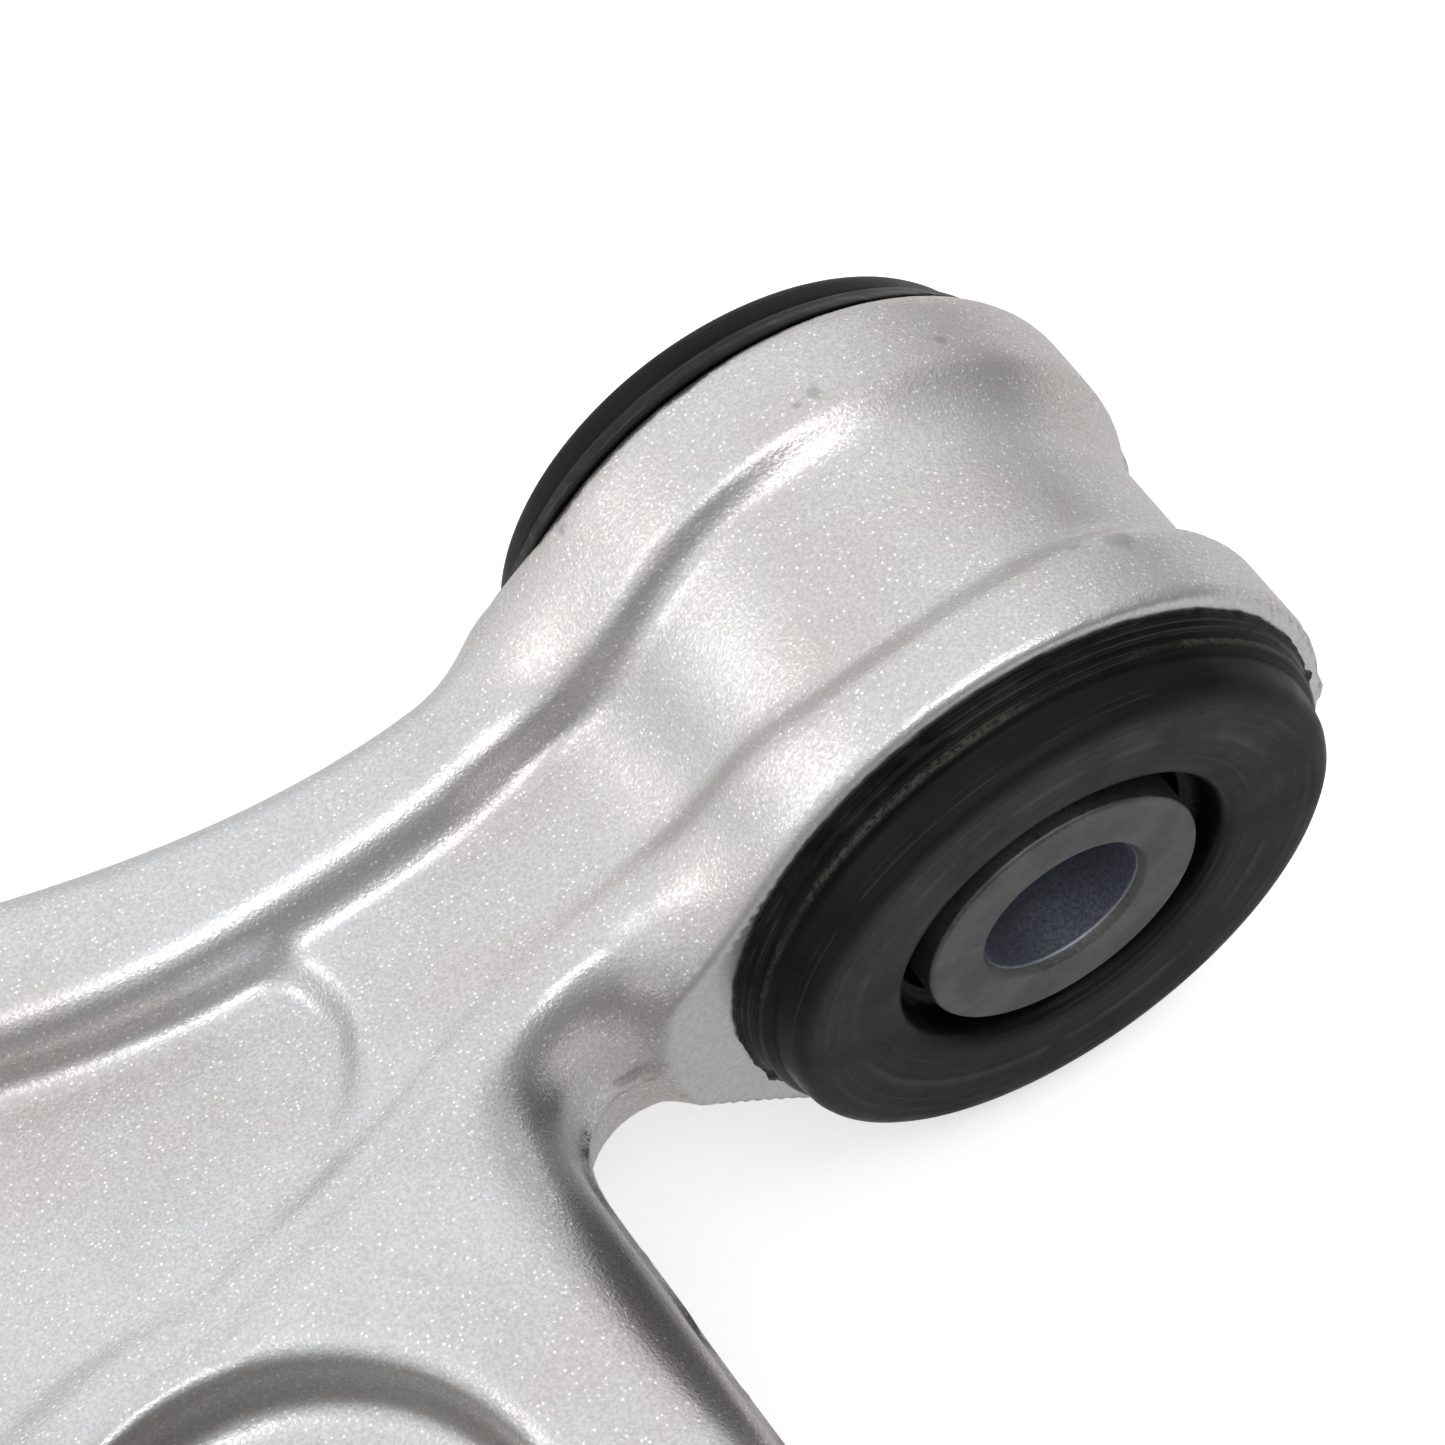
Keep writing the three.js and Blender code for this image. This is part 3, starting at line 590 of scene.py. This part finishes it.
def blasted_aluminium():
    """Shot-blasted forging skin: fine bright grain on warm grey, with scuffs. The mesh says where it
    is machined, and where painted shade darkens the wall of the round recess."""
    paint = Paint("shot_blasted_aluminium")
    grain = paint.noise(0.28, 2, 0.6)
    peel = paint.noise(1.6, 3, 0.55)
    cloud = paint.noise(24, 3, 0.55)
    patch = paint.noise(9, 4, 0.6)
    chance = paint.ramp(paint.cells(0.4), 0.62, 0.80)
    dot = paint.ramp(paint.cells(0.4, "Distance"), 0.38, 0.2)
    glint = paint.math("MULTIPLY", chance, dot)
    colour = paint.blend(paint.ramp(cloud, 0.36, 0.64), (0.64, 0.605, 0.59, 1),
                         (0.68, 0.68, 0.685, 1))
    colour = paint.blend(paint.ramp(patch, 0.52, 0.74, 0, 0.2), colour, (0.55, 0.50, 0.47, 1))
    colour = paint.shade(paint.ramp(grain, 0.3, 0.7, 0.84, 1.06), colour)
    colour = paint.blend(glint, colour, (1.0, 1.0, 1.0, 1))
    marks = paint.ramp(paint.noise(2.2, 6, 0.75), 0.68, 0.76, 0, 0.3)
    for where, radius in SCUFFS:
        marks = paint.math("MAXIMUM", marks, paint.math(
            "MULTIPLY", paint.spot(from_front(*where), radius, peel), 0.7))
    colour = paint.blend(paint.math("MULTIPLY", marks, 0.75), colour, (0.30, 0.29, 0.28, 1))
    # painted shade: the wall of the round recess is darkened to a brownish dark grey
    painted_shade_amount = paint.math("MULTIPLY", paint.attribute("recess_wall_painted_shade"), 0.62)
    colour = paint.blend(painted_shade_amount, colour, (0.15, 0.135, 0.12, 1))
    cut = paint.attribute("machined")
    tool = paint.noise(0.5, 1.5, 0.5)
    bright = paint.blend(paint.ramp(tool, 0.3, 0.7), (0.60, 0.60, 0.60, 1), (0.69, 0.69, 0.69, 1))
    colour = paint.blend(cut, colour, bright)
    rough = paint.ramp(grain, 0.25, 0.75, 0.38, 0.24)
    rough = paint.math("ADD", rough, paint.math("MULTIPLY", cut, 0.05))
    uncut = paint.math("SUBTRACT", 1.0, paint.math("MULTIPLY", cut, 0.8))
    soft = paint.bump(peel, 0.4, 0.05)
    fine = paint.bump(grain, paint.math("MULTIPLY", uncut, 0.7), 0.06, soft)
    return paint.finish(Base_Color=colour, Metallic=0.92, Roughness=rough, Normal=fine)


SCUFFS = [((-1.6, -10.7, 28.4), 0.9), ((0.2, -10.4, 28.4), 0.6), ((-13.4, -11.8, 25.0), 0.8),
          ((-14.2, 12.0, 24.8), 2.0), ((-10.4, 11.6, 26.4), 1.0), ((19.3, -16.3, 21.0), 0.8)]


def moulded_rubber(name, base, shine, extra=None):
    """Moulded natural rubber: charcoal with a little bloom, pores and dust. extra adds marks
    to (paint, colour) and returns the new colour and another bump height."""
    paint = Paint(name)
    bloom = paint.noise(7, 4, 0.6)
    pore = paint.noise(0.35, 2, 0.6)
    dark, pale = (base * 0.8, base * 0.85, base, 1), (base * 1.9, base * 1.9, base * 1.8, 1)
    colour = paint.blend(paint.ramp(bloom, 0.35, 0.7), dark, pale)
    speck = paint.math("MULTIPLY", paint.ramp(paint.cells(0.8), 0.955, 0.975, 0, 0.8),
                       paint.ramp(paint.cells(0.8, "Distance"), 0.28, 0.16))
    speck = paint.math("MULTIPLY", speck, paint.ramp(bloom, 0.42, 0.62))
    colour = paint.blend(speck, colour, (0.42, 0.42, 0.40, 1))
    normal = paint.bump(pore, 0.25, 0.03, paint.bump(paint.noise(2.5, 3, 0.5), 0.3, 0.04))
    if extra:
        colour, marks = extra(paint, colour)
        normal = paint.bump(marks, 0.5, 0.05, normal)
    rough = paint.ramp(bloom, 0.3, 0.7, shine - 0.07, shine + 0.12)
    return paint.finish(Base_Color=colour, Roughness=rough, Normal=normal,
                        Specular_IOR_Level=0.11)


VENTS = ((-4.0, 24.9, 18.1), (4.0, 25.2, -21.1))


def bush_marks(paint, colour):
    """Rings left by the mould, vent marks on the face and a lighter ridge beside the boss, partly
    dust and partly painted highlight.
    """
    radius, near = paint.round_front_bush()
    along = paint.math("ABSOLUTE", near)
    ring = paint.node("ShaderNodeCombineXYZ", {0: radius, 1: along})
    lines = paint.noise(0.45, 2, 0.6, ring.outputs[0])
    broken = paint.math("MULTIPLY", paint.ramp(lines, 0.52, 0.68),
                        paint.ramp(paint.noise(6, 3, 0.6), 0.4, 0.6))
    face = paint.ramp(along, 24.2 * MM, 25.0 * MM)
    colour = paint.blend(paint.math("MULTIPLY", face, 0.7), colour, (0.015, 0.015, 0.016, 1))
    colour = paint.blend(paint.math("MULTIPLY", broken, 0.6), colour, (0.062, 0.062, 0.06, 1))
    # the ridge beside the boss is painted lighter: partly dust, partly a painted highlight
    band = paint.math("MULTIPLY", paint.ramp(near, 20.55 * MM, 20.9 * MM),
                      paint.ramp(near, 21.7 * MM, 21.35 * MM))
    dust_and_highlight = paint.math("MULTIPLY", band, paint.ramp(paint.noise(0.4, 3, 0.6), 0.3, 0.7))
    dust_and_highlight = paint.math("MULTIPLY", dust_and_highlight, paint.ramp(paint.noise(9, 2, 0.5), 0.35, 0.55))
    colour = paint.blend(paint.math("MULTIPLY", dust_and_highlight, 0.6), colour, (0.085, 0.08, 0.068, 1))
    wobble = paint.noise(0.8, 2, 0.5)
    for where in VENTS:
        mark = paint.spot(from_front(*where), 0.55, wobble)
        colour = paint.blend(mark, colour, (0.004, 0.004, 0.004, 1))
    return colour, lines


def matt_steel(name, grey, rough, metallic=0.85, grain=0.3, bore=None):
    """Cut metal with a fine grey film; inside the front bush's bore of that radius, a lighter, bluer
    painted reflection.
    """
    paint = Paint(name)
    fine = paint.noise(grain, 3, 0.65)
    stain = paint.noise(5, 4, 0.6)
    cool, warm = (grey * 0.82, grey * 0.82, grey * 0.84, 1), (grey * 1.25, grey * 1.23, grey * 1.2, 1)
    colour = paint.blend(paint.ramp(stain, 0.35, 0.65), cool, warm)
    if bore:
        radius, _ = paint.round_front_bush()
        # painted reflection: the bore is painted lighter and bluer than the rest of the sleeve
        inside = paint.ramp(radius, (bore + 0.15) * MM, (bore + 0.05) * MM)
        colour = paint.blend(inside, colour, (0.27, 0.29, 0.345, 1))
    colour = paint.shade(paint.ramp(fine, 0.3, 0.7, 0.82, 1.12), colour)
    spread = paint.ramp(fine, 0.3, 0.7, rough - 0.06, rough + 0.08)
    return paint.finish(Base_Color=colour, Metallic=metallic, Roughness=spread,
                        Normal=paint.bump(fine, 0.3, 0.03))


def plated_steel(name="zinc_plated_steel"):
    """Bright zinc with a faint warm passivation."""
    paint = Paint(name)
    drift = paint.noise(8, 4, 0.6)
    fine = paint.noise(0.4, 3, 0.6)
    colour = paint.blend(paint.ramp(drift, 0.35, 0.65), (0.52, 0.53, 0.55, 1),
                         (0.60, 0.58, 0.50, 1))
    colour = paint.shade(paint.ramp(fine, 0.3, 0.7, 0.9, 1.05), colour)
    return paint.finish(Base_Color=colour, Metallic=1.0,
                        Roughness=paint.ramp(fine, 0.3, 0.7, 0.24, 0.36),
                        Normal=paint.bump(fine, 0.2, 0.02))


def natural_plastic(name="natural_plastic"):
    paint = Paint(name)
    drift = paint.noise(6, 3, 0.5)
    colour = paint.blend(paint.ramp(drift, 0.3, 0.7), (0.72, 0.68, 0.58, 1), (0.78, 0.76, 0.69, 1))
    return paint.finish(Base_Color=colour, Roughness=paint.ramp(drift, 0.3, 0.7, 0.38, 0.5),
                        Normal=paint.bump(paint.noise(0.5, 2, 0.5), 0.15, 0.03))


ALUMINIUM = blasted_aluminium()
BUSH_RUBBER = moulded_rubber("bush_rubber", 0.004, 0.36, bush_marks)
RUBBER = moulded_rubber("rear_bush_rubber_finish", 0.01, 0.5)
BOOT_RUBBER = moulded_rubber("boot_rubber", 0.008, 0.36)
SLEEVE_STEEL = matt_steel("phosphated_sleeve", 0.115, 0.46)
FRONT_SLEEVE_STEEL = matt_steel("phosphated_front_sleeve_painted_bore_reflection", 0.115, 0.46, bore=SLEEVE_BORE)
CUT_STEEL = matt_steel("turned_steel", 0.36, 0.3, 0.95)
CUT_ALUMINIUM = matt_steel("turned_aluminium", 0.52, 0.3, 0.95)
SPRING_STEEL = matt_steel("black_spring_steel", 0.045, 0.38, 0.8)
ZINC = plated_steel()
PLASTIC = natural_plastic()


# ---- pieces ------------------------------------------------------------------------------------
def machined(x, y, z):
    """Where the forging has been cut: the end faces and bores of its three bosses."""
    across, to_ball = np.hypot(x, z), np.hypot(x - BALL_X, y - BALL_Y)
    to_rear = np.hypot(x, y - REAR_Y)
    cut = (np.abs(np.abs(y) - BOSS_FACE) < 0.12) & (across < FACING_RADIUS)
    cut |= (across < FRONT_BORE + 0.3) & (np.abs(y) < 20)
    cut |= (to_ball < SPOT_FACE_RADIUS - 0.2) & ((np.abs(z - BALL_BOSS_TOP) < 0.12)
                                                 | (np.abs(z - BALL_BOSS_BOTTOM) < 0.12))
    cut |= (to_ball < BALL_BORE + 0.3) | (to_rear < REAR_BORE + 0.3)
    cut |= (np.abs(np.abs(z) - REAR_BOSS_HALF) < 0.12) & (to_rear < REAR_BOSS_RADIUS)
    return cut


def recess_wall_painted_shade(x, y, z):
    """Painted shade on the wall of the round recess, fading out at its floor and rim."""
    from_wall = np.abs(np.hypot(x - RECESS[0], y - RECESS[1]) - RECESS_RADIUS)
    wall = smooth((2.6 - from_wall) / 1.6) * smooth((RIB_HEIGHT - 0.2 - np.abs(z)) / 1.6)
    return wall * smooth((np.abs(z) - RECESS_FLOOR - 0.3) / 1.2)


def add_forging():
    points, quads = forging_surface()
    obj = mesh_object("forged_arm", np.array(FRONT) + points * MM, quads)
    obj.data.shade_smooth()
    for name, value in (("machined", machined(*points.T)),
                        ("recess_wall_painted_shade", recess_wall_painted_shade(*points.T))):
        mask = obj.data.attributes.new(name, "FLOAT", "POINT")
        mask.data.foreach_set("value", value.astype(np.float32))
    place_piece(obj, ALUMINIUM, "arm", ["arm_forging"])


NIBS = ((math.radians(-17.0), 0.75), (math.radians(168.6), 0.6))


def bush_film(angle):
    """Radius of the thin ragged film of rubber that the mould left on the boss face."""
    wide = max(0.0, math.cos(0.8 * math.remainder(angle - math.radians(75), math.tau)))
    ragged = sum(math.sin(angle * k + k * k) for k in (23, 41, 67, 101)) / 4
    return 26.65 + 0.65 * wide**0.7 + 0.16 * ragged


def bush_flange(angle):
    """One end of the front rubber, from the can outwards, as (radius, distance along Y)."""
    film = bush_film(angle)
    return [(19.2, 19.37), (25.9, 19.37), (film, 19.3), (film, 19.5), (26.5, 19.62),
            (26.55, 19.95), (26.2, 20.3), (25.75, 20.5), (25.8, 20.75), (26.05, 21.0),
            (26.05, 21.4), (25.7, 21.75), (25.1, 21.95), (25.25, 22.2), (25.15, 22.9),
            (25.0, 23.7), (24.85, 24.4), (24.6, 24.85), (24.25, 25.12), (23.8, 25.25),
            (23.2, 25.3), (22.2, 25.25), (20.6, 25.08),
            (19.0, 24.9), (17.4, 24.78), (16.2, 24.7), (15.4, 24.5), (15.0, 24.1),
            (14.85, 23.2), (14.7, 21.4), (14.4, 20.75), (13.8, 20.5), (12.8, 20.45)]


def far_flange(angle):
    """The far end, whose film runs out over the rounded edge of the boss."""
    film = bush_film(angle) + 0.9 * max(0.0, min(1.0, (math.radians(112) - angle) / 0.6))
    return [(19.2, 19.37), (25.5, 19.37), (26.2, 19.3), (film, 19.37 - 0.7 * (film - 26.3)),
            (film + 0.1, 19.6 - 0.7 * (film - 26.3)), (film - 0.3, 19.75), (26.6, 20.3),
            (26.4, 20.8), (26.2, 21.3)] + bush_flange(angle)[11:]


def bush_profile(angle):
    """Front rubber at one angle, with small torn nibs on its bead."""
    half = []
    for radius, along in bush_flange(angle):
        if 25.6 < radius and 19.6 < along < 20.4:
            for where, height in NIBS:
                away = math.remainder(angle - where, math.tau) * radius
                radius += height * math.exp(-(away / 0.45) ** 2)
        half.append((radius, along))
    return half + [(radius, -along) for radius, along in reversed(far_flange(angle))]


def sleeve_profile(outer, half):
    """A bolt sleeve, half its length each way, with a chamfered bore and eased outer edges."""
    ends = [(SLEEVE_BORE, half - 0.75), (SLEEVE_BORE + 0.6, half), (outer - 0.25, half),
            (outer, half - 0.25)]
    return softened(ends + [(radius, -along) for radius, along in reversed(ends)], 0.12, 2)


def add_front_bush():
    rubber = lathe("front_bush_rubber_moulding", bush_profile, FRONT, "Y", 288)
    place_piece(rubber, BUSH_RUBBER, "arm", ["front_bush_rubber"])
    sleeve = lathe("front_bush_bolt_sleeve", sleeve_profile(12.5, 24.45), FRONT, "Y", 160)
    place_piece(sleeve, FRONT_SLEEVE_STEEL, "front_core",
                ["front_bush_inner_sleeve"])


def tube_profile(inner, outer, low, high, radius=0.5):
    return softened([(inner, low), (outer, low), (outer, high), (inner, high)], radius)


def rubber_web(name, side, rim_height):
    """The rubber between two kidney slots of the rear bush, from its hub to its rim, flared at both,
    with a grid of points through it."""
    out, turns, up = 8, 25, 13
    radius = np.linspace(17.9, 24.7, out)
    across = np.linspace(0, 1, turns)
    height = np.linspace(-1, 1, up)
    flare = 46 - 7 * np.abs(np.linspace(-1, 1, out)) ** 2.5
    top = np.linspace(18, rim_height, out)

    def point(i, j, k):
        angle = math.radians(mix(flare[i], 180 - flare[i], across[j]))
        return (radius[i] * math.cos(angle), side * radius[i] * math.sin(angle),
                top[i] * height[k])

    def sheet(count_u, count_v, place):
        base = len(points)
        points.extend(place(u, v) for u in range(count_u) for v in range(count_v))
        for u in range(count_u - 1):
            for v in range(count_v - 1):
                a = base + u * count_v + v
                faces.append((a, a + 1, a + count_v + 1, a + count_v))

    points, faces = [], []
    for k in (0, up - 1):
        sheet(out, turns, lambda u, v, k=k: point(u, v, k))
    for j in (0, turns - 1):
        sheet(out, up, lambda u, v, j=j: point(u, j, v))
    for i in (0, out - 1):
        sheet(turns, up, lambda u, v, i=i: point(i, u, v))
    obj = mesh_object(name, np.array(REAR) + np.array(points) * MM, faces)
    tidy_normals(obj)
    obj.data.set_sharp_from_angle(angle=math.radians(50))
    return obj


def add_rear_rubber():
    """A rim on the can, a hub on the core, and two webs between them."""
    top = 16.4
    rim = lathe("rear_bush_rubber_rim", tube_profile(24.4, 27.9, -top, top, 0.6), REAR)
    place_piece(rim, RUBBER, "arm", ["rear_bush_rubber"])
    hub = lathe("rear_bush_rubber_hub", tube_profile(15.1, 18.2, -18, 18, 0.6), REAR)
    place_piece(hub, RUBBER, "rear_core", ["rear_bush_rubber"])
    for side, end in ((1, "rear"), (-1, "front")):
        web = rubber_web(f"rear_bush_rubber_web_{end}", side, top)
        place_piece(web, RUBBER, None, ["rear_bush_rubber"])
        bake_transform(web)


def add_rear_bush():
    can = lathe("rear_bush_can", tube_profile(28, 30, -20.5, 20.5), REAR)
    place_piece(can, CUT_STEEL, "arm", ["rear_bush_outer_sleeve"])
    add_rear_rubber()
    core = lathe("rear_bush_core_tube", tube_profile(10.8, 15, -22, 22), REAR)
    place_piece(core, CUT_ALUMINIUM, "rear_core", ["rear_bush_core"])
    sleeve = lathe("rear_bush_bolt_sleeve", sleeve_profile(10.5, 28.6), REAR)
    place_piece(sleeve, SLEEVE_STEEL, "rear_core", ["rear_bush_inner_sleeve"])
    for side, node in ((1, "rear_bush_upper_stop"), (-1, "rear_bush_lower_stop")):
        low, high = sorted((side * 22.3, side * 25.3))
        profile = softened([(10.8, low), (20, low), (20, high), (10.8, high)], 0.9, 5)
        stop = lathe(node + "_washer", profile, REAR)
        place_piece(stop, RUBBER, "rear_core", [node])


def housing_profile():
    return softened([
        (15.5, -20.9), (21, -20.9), (23, -17.3), (27, -17.3), (27, -14.3), (23, -14.3),
        (23, 12), (21.5, 12), (21.5, 14), (23, 14), (23, 14.4), (21.5, 14.4), (21.5, 16.5),
        (23, 16.5), (23, 17), (15.6, 17), (12.2, 10.2), (17.3, 9.3), (17.3, -19.9),
        (15.5, -19.9)], 0.3, 2)


def thread_radius(height, angle, low, high):
    """A right-hand M12 thread of 1.5 pitch, run out at both ends."""
    phase = (height / 1.5 - angle / math.tau) % 1
    depth = 0.86 * min(1, 1.25 * (1 - abs(2 * phase - 1)))
    run_out = min(1, max(0, (height - low) / 1.2), max(0, (high - height) / 1.2))
    return 6 - depth * run_out


def stud_profile(angle):
    ball, neck = 13.5, 6.8
    turn = np.linspace(math.radians(165), math.asin(neck / ball), 26)
    outline = [(0, ball * math.cos(turn[0]))]
    outline += [(ball * math.sin(a), ball * math.cos(a)) for a in turn]
    outline += [(6.9, 14.5), (6.8, 18), (7.2, 20.6), (8.4, 23.4), (9, 24.6), (9, 30.5),
                (7.62, 50.8), (7.3, 51.4), (6, 52.6)]
    low, high = 53, 74.6
    outline += [(thread_radius(h, angle, low, high), h) for h in np.arange(low, high + 0.1, 0.24)]
    socket = 2.9 / max(abs(math.cos(angle + k * math.pi / 3)) for k in range(3)) * 0.93
    outline += [(4.9, 75.85), (4.6, 76), (socket + 0.3, 76), (socket, 75.7), (socket, 71), (0, 70.4)]
    return outline


def nut_profile(angle):
    """An M12 flange nut: hexagon with chamfered corners, flange and recess for its insert."""
    hexagon = 9.5 / max(abs(math.cos(angle + k * math.pi / 3)) for k in range(3))
    chamfer = 56 + 12 - max(0, hexagon - 9.2) * 0.6
    flange_top = 58.6 - max(0, hexagon - 9.5) * 0.45
    return [(6.9, 56), (12.3, 56), (12.8, 56.4), (12.8, 56.9), (12.5, 57.3),
            (hexagon + 0.35, flange_top), (hexagon, flange_top + 0.4), (hexagon, chamfer - 0.2),
            (hexagon - 0.15, chamfer + 0.02), (9.1, 68), (8.6, 68), (8.3, 67.8), (8.3, 64.8),
            (6.3, 64.8), (6.3, 57.2)]


def boot_line():
    """Outer then inner skin of the boot, from its lip up to its collar."""
    outer = [(21.8, 14.72), (24.2, 14.72), (24.6, 15.6), (24.9, 16.5), (26.2, 17.3), (27.6, 18.6),
             (28.4, 20.4), (28.3, 22.0), (27.2, 23.9), (25.2, 25.4), (22.4, 26.4), (19.4, 26.7),
             (17.2, 26.9), (15.4, 27.3), (13.8, 27.3), (12.6, 27.1), (12.4, 27.3), (12.4, 28.6),
             (12.7, 29.2), (12.6, 29.7), (12.2, 29.8), (10.8, 29.8)]
    inner = [(10.8, 24.85), (12.4, 24.85), (14.6, 25.5), (16.9, 25.1), (19.4, 24.9), (22.0, 24.6),
             (24.3, 23.8), (26.0, 22.6), (26.7, 21.2), (26.6, 19.8), (25.6, 18.7), (24.2, 17.9),
             (23.4, 17.4), (23.4, 16.2), (21.8, 16.2)]
    return outer + inner


def ring_profile(radius, height, wire=0.52):
    turn = np.linspace(0, math.tau, 13)[:-1]
    return [(radius + wire * math.cos(a), height + wire * math.sin(a)) for a in turn]


def add_ball_housing():
    housing = lathe("ball_joint_housing_cup", housing_profile(), BALL, segments=160)
    place_piece(housing, ZINC, "arm", ["ball_joint_housing"])
    cap_low, cap_high = -19.6, -17.0
    cap = lathe("ball_joint_cap_disc", softened([
        (0, cap_low + 0.5), (9, cap_low + 0.5), (11, cap_low), (17, cap_low), (17, cap_high),
        (0, cap_high)], 0.4, 3), BALL)
    place_piece(cap, ZINC, "arm", ["ball_joint_cap"])
    ring = lathe("ball_joint_spring_ring", tube_profile(21.8, 25.5, 12.3, 13.7, 0.25), BALL,
                 segments=120, sweep=336)
    ring.data.set_sharp_from_angle(angle=math.radians(50))
    place_piece(ring, SPRING_STEEL, "arm", ["ball_joint_snap_ring"])


def add_ball_stud():
    stud = lathe("ball_stud_turned", stud_profile, BALL, segments=96)
    place_piece(stud, CUT_STEEL, "stud_spin", ["ball_stud"])
    nut = lathe("stud_flange_nut", nut_profile, BALL, segments=144)
    nut.data.set_sharp_from_angle(angle=math.radians(32))
    place_piece(nut, ZINC, "stud_spin", ["stud_nut"])
    insert = lathe("stud_nut_locking_ring", tube_profile(6.3, 8, 65.1, 67.7, 0.3), BALL)
    place_piece(insert, PLASTIC, "stud_spin", ["stud_nut_insert"])


def add_dust_boot():
    boot = lathe("ball_joint_boot", softened(boot_line(), 0.7, 2), BALL, segments=144)
    place_piece(boot, BOOT_RUBBER, None, ["dust_boot"])
    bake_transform(boot)
    for node, body in (("boot_lower_ring", "arm"), ("boot_upper_ring", "stud_tilt")):
        corner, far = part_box(node)
        radius = (far - corner).x / 2 / MM - 0.55
        height = (middle(node).z - BALL.z) / MM
        wire = lathe(node + "_wire", ring_profile(radius, height), BALL, segments=144)
        place_piece(wire, ZINC, body, [node])
    bearing = lathe("boot_bearing_ring", tube_profile(9.3, 10.5, 25.1, 29.5, 0.2), BALL)
    place_piece(bearing, PLASTIC, "stud_tilt", ["boot_sliding_ring"])


def finish_hidden_nodes():
    """Carried-over CAD bodies that lie inside others get their real materials."""
    finishes = {"front_bush_outer_sleeve": CUT_STEEL, "ball_joint_seat": PLASTIC,
                "ball_joint_preload_disc": SPRING_STEEL}
    for node, material in finishes.items():
        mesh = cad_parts[node].data
        mesh.materials.clear()
        mesh.materials.append(material)


# ---- camera, light and floor ---------------------------------------------------------------------
def add_camera():
    data = bpy.data.cameras.new("camera")
    data.lens, data.sensor_width = 75.22, 36
    data.clip_start, data.clip_end = 0.01, 20
    camera = bpy.data.objects.new("camera", data)
    bpy.context.scene.collection.objects.link(camera)
    back = Vector((0.17257, 0.52770, 0.83172)).normalized()
    up = Vector((-0.48415, -0.68990, 0.53818)).normalized()
    right = up.cross(back)
    turn = Matrix((right, up, back)).transposed()
    camera.matrix_world = Matrix.Translation(from_front(56.954, 126.113, 209.167)) @ turn.to_4x4()
    bpy.context.scene.camera = camera


def add_floor():
    """White to the eye like the photo's background, but a grey studio floor in reflections."""
    size = 8.0
    floor = mesh_object("floor", [(-size, -size, 0), (size, -size, 0), (size, size, 0),
                                  (-size, size, 0)], [(0, 1, 2, 3)])
    floor.location.z = CAD_BOX[0].z
    paint = Paint("pale_floor")
    tone = paint.noise(180, 3, 0.5)
    colour = paint.blend(paint.ramp(tone, 0.3, 0.7), (0.93, 0.93, 0.93, 1), (0.96, 0.96, 0.96, 1))
    seen = paint.node("ShaderNodeLightPath").outputs["Is Camera Ray"]
    colour = paint.blend(seen, (0.36, 0.355, 0.35, 1), colour)
    floor.data.materials.append(paint.finish(
        Base_Color=colour, Roughness=0.9, Emission_Color=(1, 1, 1, 1),
        Emission_Strength=paint.math("ADD", 0.35, paint.math("MULTIPLY", seen, 0.15))))


def add_light(name, place, size, power, colour=(1, 1, 1), aim=None):
    data = bpy.data.lights.new(name, "AREA")
    data.shape = "RECTANGLE"
    data.size, data.size_y = size
    data.energy = power
    data.color = colour
    light = bpy.data.objects.new(name, data)
    bpy.context.scene.collection.objects.link(light)
    light.location = place
    away = Vector(place) - (aim or FRONT)
    light.rotation_euler = away.to_track_quat("Z", "Y").to_euler()


def add_studio():
    world = bpy.data.worlds.new("studio")
    bpy.context.scene.world = world
    world.use_nodes = True
    tree = world.node_tree
    background = tree.nodes["Background"]
    place = tree.nodes.new("ShaderNodeTexCoord")
    facing = tree.nodes.new("ShaderNodeVectorMath")
    facing.operation = "DOT_PRODUCT"
    facing.inputs[1].default_value = (0.26, -0.42, 0.87)
    tree.links.new(place.outputs["Generated"], facing.inputs[0])
    ramp = tree.nodes.new("ShaderNodeMapRange")
    ramp.interpolation_type = "SMOOTHSTEP"
    for key, value in (("From Min", -0.3), ("From Max", 0.8), ("To Min", 0.22), ("To Max", 1.05)):
        ramp.inputs[key].default_value = value
    tree.links.new(facing.outputs["Value"], ramp.inputs["Value"])
    tree.links.new(ramp.outputs["Result"], background.inputs["Strength"])
    background.inputs["Color"].default_value = (0.98, 0.99, 1.0, 1)
    add_light("overhead", (-0.25, 0.42, 1.2), (1.0, 0.28), 2.7)
    add_light("side", (0.9, -0.6, 0.9), (0.6, 0.6), 1.5, (1, 0.985, 0.97))
    bpy.context.scene.view_settings.view_transform = "Standard"


add_camera()
add_studio()
add_floor()
add_forging()
add_front_bush()
add_rear_bush()
add_ball_housing()
add_ball_stud()
add_dust_boot()
finish_hidden_nodes()
